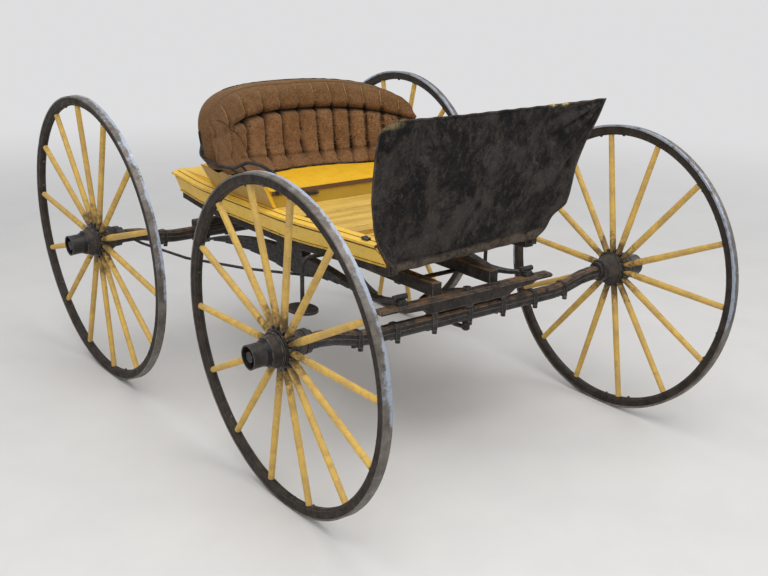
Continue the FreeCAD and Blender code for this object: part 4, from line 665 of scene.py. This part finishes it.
def add_binding():
    """The pad's cloth, drawn over the board's edge and tacked behind it."""
    outline = [pad_outline(math.pi * (-0.14 + 1.28 * index / 220)) for index in range(221)]
    rim = np.array([place for place in outline if place[1] > PAD_LOW.z + 0.045])
    inward = np.array([0.0, MIDDLE]) - rim
    inward /= np.linalg.norm(inward, axis=1)[:, None]
    lap = rim + inward * 0.007
    bearing, thick, _ = settled(lap)
    rows = [on_back(bearing, lap[:, 1], thick + 0.0004)]
    for shift, forward in ((0.0010, 0.018), (-0.0022, 0.002), (-0.0024, -0.006),
                           (-0.0016, -0.0118), (0.003, -0.0128), (0.016, -0.0124)):
        place = rim + inward * shift
        rows.append(on_back(bearing_at(place, forward), place[:, 1], forward))
    points = np.concatenate(rows)
    faces = []
    for row in range(len(rows) - 1):
        for index in range(len(rim) - 1):
            a, b = row * len(rim) + index, (row + 1) * len(rim) + index
            faces.append((a, a + 1, b + 1, b))
    strip = smooth_mesh("back_binding", points, faces)
    solid = strip.modifiers.new("thickness", "SOLIDIFY")
    solid.thickness = 0.0012
    # no painted shade of folds on the binding: the velour reads zero here
    strip.data.attributes.new("painted_fold_shade", "FLOAT", "POINT")
    dress(strip, "seat_cloth")


def add_rail_ends():
    """The arm rails' rear ends, bent up along the edge of the back and covered in leather."""
    runs, beyond, forward = [], 0.003, -0.006
    for side in (-1, 1):
        run = []
        for z in np.linspace(0.896, 0.970, 9):
            edge = PAD_HIGH.x * (1 - abs((z - MIDDLE) / TALL) ** 3) ** (1 / 3)
            bearing = bearing_at(np.array([[side * (edge + beyond), z]]), forward)[0]
            run.append(on_back(bearing, z, forward))
        runs.append(run)
    dress(tube("rail_ends", runs, 0.0058), "black_leather")


add_pad()
add_stitching()
add_piping()
add_loose_threads()
add_binding()
add_rail_ends()


# ------------------------------------------------------------------ leather dash
DASH_LOW, DASH_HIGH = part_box("dash_leather")
# height above the leather's foot, and half width there, on each side
DASH_LEFT = np.array([(0.006, 0.286), (0.014, 0.303), (0.029, 0.320), (0.050, 0.333),
                      (0.075, 0.340), (0.090, 0.352), (0.102, 0.380), (0.112, 0.398),
                      (0.160, 0.403), (0.265, 0.396), (0.341, 0.414), (0.416, 0.440),
                      (0.462, 0.4515), (0.474, 0.452)])
DASH_RIGHT = np.array([(-0.013, 0.292), (0.008, 0.312), (0.028, 0.333), (0.055, 0.352),
                       (0.086, 0.377), (0.115, 0.395), (0.145, 0.406), (0.242, 0.431),
                       (0.318, 0.441), (0.393, 0.448), (0.445, 0.449), (0.468, 0.440),
                       (0.474, 0.425)])
DASH_FOOT = np.array([(-0.310, -0.013), (-0.230, -0.012), (-0.130, -0.008), (-0.013, -0.004),
                      (0.080, 0.000), (0.152, 0.003), (0.290, 0.004)])


def smooth_row(table, at):
    """Values of a table's curve at places, rounded by averaging about each place."""
    shifts = (-0.010, -0.005, 0, 0.005, 0.010)
    return np.mean([np.interp(at + shift, table[:, 0], table[:, 1]) for shift in shifts], 0)


def on_dash(x, height, forward):
    """Places ahead of the leaning plane of the leather, from x and height above its foot."""
    half = 0.0015
    slope = (DASH_HIGH.y - DASH_LOW.y - 2 * half) / (DASH_HIGH.z - DASH_LOW.z)
    return np.stack([x, DASH_HIGH.y - half - height * slope - forward, DASH_LOW.z + height], -1)


def dash_surface(u, v):
    """x, height and bulge of the leather, for u from right to left and v up, both 0 to 1."""
    tall = DASH_HIGH.z - DASH_LOW.z
    right_z = DASH_RIGHT[0, 0] + v * (DASH_RIGHT[-1, 0] - DASH_RIGHT[0, 0])
    left_z = DASH_LEFT[0, 0] + v * (DASH_LEFT[-1, 0] - DASH_LEFT[0, 0])
    x = -smooth_row(DASH_RIGHT, right_z) * (1 - u) + smooth_row(DASH_LEFT, left_z) * u
    foot = np.interp(x, DASH_FOOT[:, 0], DASH_FOOT[:, 1]) + 0.0012 * np.sin(x * 70)
    head = tall - 0.003 - 0.004 * np.sin(np.clip(u, 0, 1) * math.pi) + 0.0008 * np.sin(x * 95)
    head = head - 0.012 * np.clip(1 - u / 0.035, 0, 1) ** 1.5
    height = foot + (head - foot) * v
    inner = np.clip(16 * u * (1 - u), 0, 1) * np.clip(10 * v * (1 - v), 0, 1)
    wave = 0.0045 * np.sin(x * 9 + height * 5 + 0.8) + 0.0032 * np.sin(x * 23 - height * 17)
    drape = 0.0054 * np.sin((x + 0.09 * height) * 84 + 1.3) * np.clip(1 - u / 0.30, 0, 1) ** 0.7
    corner = np.hypot(0.45 - x, tall - height)
    turn = np.arctan2(tall - height, 0.46 - x)
    pull = 0.0085 * np.sin(turn * 21) * np.clip(corner / 0.10, 0, 1) * np.clip(
        1 - corner / 0.42, 0, 1)
    fine = 0.0012 * np.sin(x * 61 + 3 * np.sin(height * 37)) * np.sin(height * 47 + x * 13)
    crease = -0.0045 * np.exp(-((x + 0.385) / 0.007) ** 2) * np.clip(1.3 - 2.2 * v, 0, 1)
    rolled = 0.004 * np.exp(-((height - foot - 0.030) / 0.007) ** 2)
    bulge = 1.3 * (wave + drape + pull + fine + crease) * (0.25 + 0.75 * inner)
    bulge += 0.006 * inner - rolled * np.clip(12 * u * (1 - u), 0, 1)
    return x, height, bulge


def worn_top(x):
    """1 at the two places where the top edge is rubbed through to the yellow hide."""
    return np.clip(1.6 * (dip(x - 0.215, 0.011) + dip(x - 0.268, 0.011)), 0, 1)


def add_dash():
    """The leather stretched over the dash frame, hemmed at its edges and torn at one corner."""
    across, up = 260, 150
    u = np.linspace(0, 1, across + 1)
    v = np.linspace(0, 1, up + 1)
    u, v = (grid.ravel() for grid in np.meshgrid(u, v))
    x, height, bulge = dash_surface(u, v)
    # distances from the edges, for a hem a little narrower at the sides than at the foot
    wide, tall = 0.86 / 0.9, 0.47
    from_side, from_foot = np.minimum(u, 1 - u) * wide, v * tall
    band = np.minimum(from_side, from_foot)
    hem = np.clip((0.0165 - band) / 0.0015, 0, 1)
    groove = np.exp(-((band - 0.0175) / 0.0016) ** 2)
    points = on_dash(x, height, bulge + 0.0016 * hem - 0.0014 * groove)
    faces = []
    for row in range(up):
        for column in range(across):
            a = row * (across + 1) + column
            torn = u[a] < 0.045 and v[a] > 0.975 - 0.010 * math.sin(column * 2.1)
            if not torn:
                faces.append((a, a + 1, a + across + 2, a + across + 1))
    sheet = smooth_mesh("dash_sheet", points, faces)
    foot_band = np.clip((0.036 + 0.008 * np.sin(9 * x) - from_foot) / 0.010, 0, 1)
    worn = np.maximum(foot_band, np.clip((0.006 - from_side) / 0.002, 0, 1))
    worn = np.maximum(worn, np.clip((v - 0.990) / 0.006, 0, 1) * 0.6)
    corner = np.clip((0.095 - u) / 0.03, 0, 1) * np.clip((v - 0.945) / 0.02, 0, 1)
    worn = np.maximum(worn, corner)
    tell(sheet, "hem", worn)
    tops = worn_top(x) * np.clip((v - 0.975) / 0.012, 0, 1)
    tell(sheet, "bare", np.maximum(tops, 0.22 * corner))
    mesh = bmesh.new()
    mesh.from_mesh(sheet.data)
    loose = [vert for vert in mesh.verts if not vert.link_faces]
    bmesh.ops.delete(mesh, geom=loose, context="VERTS")
    mesh.to_mesh(sheet.data)
    mesh.free()
    solid = sheet.modifiers.new("thickness", "SOLIDIFY")
    solid.thickness = 0.0026
    solid.offset = 0
    dress(sheet, "black_leather")
    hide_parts("dash_leather")
    levels = np.linspace(0, DASH_LEFT[-1, 0], 200)
    wide = smooth_row(DASH_LEFT, levels) + smooth_row(DASH_RIGHT, levels)


def add_top_roll():
    """The leather's top edge, rolled over the frame's rail and stitched down."""
    count, level = 90, 0.992
    x, height, bulge = dash_surface(np.linspace(0.075, 0.992, count), np.full(count, level))
    roll = on_dash(x, height - 0.0008, bulge + 0.0008)
    lip = tube("dash_top_roll", [roll], 0.0034, sides=2)
    tell(lip, "bare", worn_top(np.array([vert.co.x for vert in lip.data.vertices])))
    dress(lip, "black_leather")


add_dash()
add_top_roll()


# ------------------------------------------------------------------ springs
def add_springs():
    """Seven leaves a side, each drawn down thin towards its two ends."""
    count, curve, thick = 7, 2.0, 0.011
    low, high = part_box("side_spring_right")
    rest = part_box("front_bolster")[1].z + thick
    half, chamfer, front_reach = 0.019, 0.0022, 0.410
    drawn_length, drawn_depth = 0.085, 0.0075
    irons_to_crown = 0.618
    crown = Vector((0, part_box("spring_irons_right")[0].y + irons_to_crown, high.z))
    rear_reach = high.y - crown.y
    for word in ("right", "left"):
        middle = sum(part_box(f"side_spring_{word}"), Vector()).x / 2
        mesh = bmesh.new()
        for index in range(count):
            share = 1 - index / count
            along = np.linspace(-front_reach * share, rear_reach * share, 49)
            angle = np.arcsin(along / curve)
            upper = curve - index * thick
            y, z = crown.y + upper * np.sin(angle), crown.z - curve + upper * np.cos(angle)
            if index:
                from_tip = np.minimum(along - along[0], along[-1] - along)
                drawn = (1 - np.clip(from_tip / drawn_length, 0, 1)) ** 1.3
                deep = thick - drawn_depth * drawn
            else:
                # the longest leaf goes on, sagging a little, and lands flat on the bolster
                run = np.linspace(0, 1, 9)[:-1]
                landing = low.y + 0.045
                sag = 0.024 * run * (1 - run)
                y = np.concatenate([[low.y], landing + (y[0] - landing) * run, y])
                z = np.concatenate([[rest], rest + (z[0] - rest) * run - sag, z])
                deep = np.full(len(y), thick)
            narrow = half * (1 - 0.012 * index)
            rings = []
            for place, level, depth in zip(y, z, deep):
                section = [(-narrow, -chamfer), (-narrow + chamfer, 0), (narrow - chamfer, 0),
                           (narrow, -chamfer), (narrow, chamfer - depth),
                           (narrow - chamfer, -depth), (-narrow + chamfer, -depth),
                           (-narrow, chamfer - depth)]
                rings.append([mesh.verts.new((middle + x, place, level + down))
                              for x, down in section])
            join_rings(mesh, rings)
        leaves = finished(f"spring_leaves_{word}", mesh, "spring_steel")
        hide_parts(f"side_spring_{word}")


def join_rings(mesh, rings):
    """Faces between rings of points, with one more over each end."""
    count = len(rings[0])
    for first, second in zip(rings, rings[1:]):
        for index in range(count):
            after = (index + 1) % count
            mesh.faces.new((first[index], first[after], second[after], second[index]))
    mesh.faces.new(rings[0][::-1])
    mesh.faces.new(rings[-1])


def finished(name, mesh, slot, body="wagon", finish=None):
    """Turns a bmesh into a piece that rides a body and has a slot's finish or another."""
    bmesh.ops.recalc_face_normals(mesh, faces=mesh.faces)
    data = bpy.data.meshes.new(name)
    mesh.to_mesh(data)
    mesh.free()
    piece = riding(name, data, body)
    dress(piece, slot, finish)
    return piece


def block(mesh, centre, across, deep, tall):
    """A forged lug or plate: a block with eased edges, its axes given as vectors."""
    rings = []
    for level, share in ((-1, 0.84), (-0.62, 1), (0.62, 1), (1, 0.84)):
        rings.append([mesh.verts.new(centre + across * (u * share) + deep * (v * share) + tall * level)
                      for u, v in ((-1, -0.8), (-0.8, -1), (0.8, -1), (1, -0.8), (1, 0.8), (0.8, 1),
                                   (-0.8, 1), (-1, 0.8))])
    join_rings(mesh, rings)


def dome_head(mesh, centre, out, radius, height, sides=12):
    """A bolt or rivet head, low and rounded."""
    turn = out.to_track_quat("Z", "Y")
    angles = [2 * math.pi * index / sides for index in range(sides)]
    rings = []
    for share, level in ((1.0, 0.0), (1.0, 0.35), (0.86, 0.72), (0.5, 0.95)):
        wide, up = radius * share, height * level
        rings.append([mesh.verts.new(centre + turn @ Vector((
            wide * math.cos(angle), wide * math.sin(angle), up))) for angle in angles])
    join_rings(mesh, rings)


# ------------------------------------------------------------------ wheels
CAMBER = math.radians(3)


def wheel_axes(wheel):
    """A wheel's middle and its outward, forward and upward directions at rest."""
    low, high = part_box(f"{wheel}_tyre")
    side = -1 if low.x < 0 else 1
    out = Vector((side * math.cos(CAMBER), 0, -math.sin(CAMBER)))
    up = Vector((side * math.sin(CAMBER), 0, math.cos(CAMBER)))
    return (low + high) / 2, out, Vector((0, 1, 0)), up


def add_hub_teeth(wheel, count=14):
    """Wedges of the iron hub band, one between each two spoke feet, and its raised rings."""
    centre, out, ahead, up = wheel_axes(wheel)
    turns = []
    for vert in NODES[f"{wheel}_spokes"].data.vertices:
        place = vert.co - centre
        across, high = place.dot(ahead), place.dot(up)
        if 0.30 < math.hypot(across, high) < 0.42:
            turns.append(math.atan2(high, across))
    phase = np.angle(np.exp(1j * count * np.array(turns)).mean()) / count
    mesh = bmesh.new()
    for index in range(count):
        angle = phase + 2 * math.pi * (index + 0.5) / count
        radial = ahead * math.cos(angle) + up * math.sin(angle)
        around = up * math.cos(angle) - ahead * math.sin(angle)
        block(mesh, centre + radial * 0.0605 - out * 0.006, around * 0.0042, out * 0.0155,
              radial * 0.0075)
    finished(f"{wheel}_hub_teeth", mesh, "black_iron", f"{wheel}_wheel")
    rings = []
    for radius, axial in ((0.0530, 0.0225), (0.0540, -0.0300), (0.0425, 0.0480)):
        rings.append([centre + out * axial +
                      (ahead * math.cos(angle) + up * math.sin(angle)) * radius
                      for angle in np.linspace(0, 2 * math.pi, 37)])
    bands = tube(f"{wheel}_hub_rings", rings, 0.0022, f"{wheel}_wheel", sides=2)
    dress(bands, "black_iron")


def add_rim_bolts(wheel):
    """Tyre bolts' nuts on the inside of the felloes, in six pairs."""
    centre, _, ahead, up = wheel_axes(wheel)
    rim = NODES[f"{wheel}_rim"].data
    reach = min(math.hypot((vert.co - centre).dot(ahead), (vert.co - centre).dot(up))
                for vert in rim.vertices)
    mesh, first = bmesh.new(), 0.35
    for index in range(6):
        for apart in (-0.11, 0.11):
            angle = first + 2 * math.pi * index / 6 + apart
            radial = ahead * math.cos(angle) + up * math.sin(angle)
            dome_head(mesh, centre + radial * (reach + 0.0008), -radial, 0.0052, 0.0055, 6)
    finished(f"{wheel}_rim_nuts", mesh, "black_iron", f"{wheel}_wheel")


# ------------------------------------------------------------------ body trim
def surface(node):
    """A CAD part's surface, to find places on it."""
    mesh = NODES[node].data
    return BVHTree.FromPolygons([vert.co.copy() for vert in mesh.vertices],
                                [list(face.vertices) for face in mesh.polygons])


def add_pinstripes():
    """Thin brown lines along each side: two on its face and one on the cap's top."""
    for side, word in ((-1, "right"), (1, "left")):
        low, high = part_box(f"body_side_{word}")
        shell = surface(f"body_side_{word}")
        places, above = np.linspace(low.y + 0.012, high.y - 0.012, 90), 0.0004
        mesh, last = bmesh.new(), None
        for stripe in ("under the cap", "over the bead"):
            rows = []
            for y in places:
                face_run = []
                for z in np.arange(low.z - 0.004, high.z, 0.001):
                    hit, normal = shell.ray_cast(Vector((side, y, z)), Vector((-side, 0, 0)))[:2]
                    if hit and -0.6 < normal.z < -0.3 and abs(normal.x) > 0.85:
                        face_run.append((hit, normal))
                if len(face_run) < 12:
                    continue
                if stripe == "over the bead":
                    ends = face_run[4], face_run[6]
                else:
                    ends = face_run[-9], face_run[-4]
                rows.append([mesh.verts.new(hit + normal * above) for hit, normal in ends])
            for first, second in zip(rows, rows[1:]):
                if (second[0].co - first[0].co).length < 0.04:
                    mesh.faces.new((first[0], first[1], second[1], second[0]))
        edge = high.x if side > 0 else low.x
        for y in places:
            run = []
            for x in (edge - side * 0.024, edge - side * 0.0205):
                hit, normal = shell.ray_cast(Vector((x, y, 1)), Vector((0, 0, -1)))[:2]
                if hit and normal.z > 0.8:
                    run.append(mesh.verts.new(hit + normal * above))
            if len(run) == 2 and last:
                mesh.faces.new((last[0], last[1], run[1], run[0]))
            last = run if len(run) == 2 else None
        finished(f"pinstripe_{word}", mesh, "body_yellow", finish="stripe")


def add_hardware():
    """Small irons: the seat's latch plate with its nut, and brackets by the sides."""
    mesh = bmesh.new()
    x, y, z = Vector((1, 0, 0)), Vector((0, 1, 0)), Vector((0, 0, 1))
    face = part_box("seat_front_panel")[0].y - 0.0035
    block(mesh, Vector((-0.165, face, 0.7630)), x * 0.036, y * 0.0032, z * 0.0065)
    dome_head(mesh, Vector((-0.137, face - 0.003, 0.7630)), -y, 0.0055, 0.0050, 6)
    dome_head(mesh, Vector((-0.190, face - 0.003, 0.7630)), -y, 0.0040, 0.0030)
    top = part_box("body_floor")[1].z
    block(mesh, Vector((-0.287, -0.185, top + 0.0035)), x * 0.014, y * 0.026, z * 0.0034)
    block(mesh, Vector((-0.299, -0.185, top + 0.011)), x * 0.0028, y * 0.009, z * 0.012)
    for along in (-0.197, -0.172):
        dome_head(mesh, Vector((-0.284, along, top + 0.0065)), z, 0.0055, 0.0045, 6)
    corner = surface("body_side_right").ray_cast(Vector((-0.330, -0.550, 1)), -z)[0]
    block(mesh, corner + z * 0.004, x * 0.009, y * 0.016, z * 0.0045)
    dome_head(mesh, corner + z * 0.008, z, 0.0065, 0.005, 6)
    finished("seat_latch_and_brackets", mesh, "black_iron")


add_springs()
for wheel in WHEELS:
    add_hub_teeth(wheel)
    add_rim_bolts(wheel)
add_pinstripes()
add_hardware()

# ------------------------------------------------------------------ stage
PALE = (0.735, 0.735, 0.745, 1)


def seen_directly(tree):
    """1 for what the camera sees, directly or mirrored in a gloss."""
    path = tree.nodes.new("ShaderNodeLightPath")
    both = tree.nodes.new("ShaderNodeMath")
    both.operation = "MAXIMUM"
    tree.links.new(path.outputs["Is Camera Ray"], both.inputs[0])
    tree.links.new(path.outputs["Is Glossy Ray"], both.inputs[1])
    return both.outputs[0]


def studio_floor():
    """Pale floor that keeps shadows close by and runs into the pale backdrop far off."""
    m = Shade("studio_floor", Roughness=0.9)
    m.done(m.over((0.66, 0.645, 0.615), (0.63, 0.615, 0.59), m.spots(0.3, 0.7, 3)))
    far = m.ramp(m.length(m.place), 2.2, 6.5)
    glow = m.node("Emission", Color=PALE)
    blend = m.node("MixShader")
    m.link(m.math("MULTIPLY", far, seen_directly(m.tree)), blend.inputs[0])
    m.link(m.bsdf.outputs[0], blend.inputs[1])
    m.link(glow.outputs[0], blend.inputs[2])
    m.link(blend.outputs[0], m.tree.nodes["Material Output"].inputs["Surface"])
    return m.material


def add_stage():
    """The floor, the light of the sky and the pale backdrop."""
    mesh = bpy.data.meshes.new("floor")
    far = 14
    mesh.from_pydata([(-far, -far, 0), (far, -far, 0), (far, far, 0), (-far, far, 0)], [],
                     [(0, 1, 2, 3)])
    floor = placed("floor", mesh)
    mesh.materials.append(studio_floor())
    scene.world = scene.world or bpy.data.worlds.new("world")
    scene.world.use_nodes = True
    tree = scene.world.node_tree
    sky = tree.nodes["Background"]
    sky.inputs["Color"].default_value = (0.9, 0.93, 1.0, 1)
    sky.inputs["Strength"].default_value = 0.50
    backdrop = tree.nodes.new("ShaderNodeBackground")
    backdrop.inputs["Color"].default_value = PALE
    blend = tree.nodes.new("ShaderNodeMixShader")
    tree.links.new(seen_directly(tree), blend.inputs[0])
    tree.links.new(sky.outputs[0], blend.inputs[1])
    tree.links.new(backdrop.outputs[0], blend.inputs[2])
    tree.links.new(blend.outputs[0], tree.nodes["World Output"].inputs["Surface"])


add_stage()
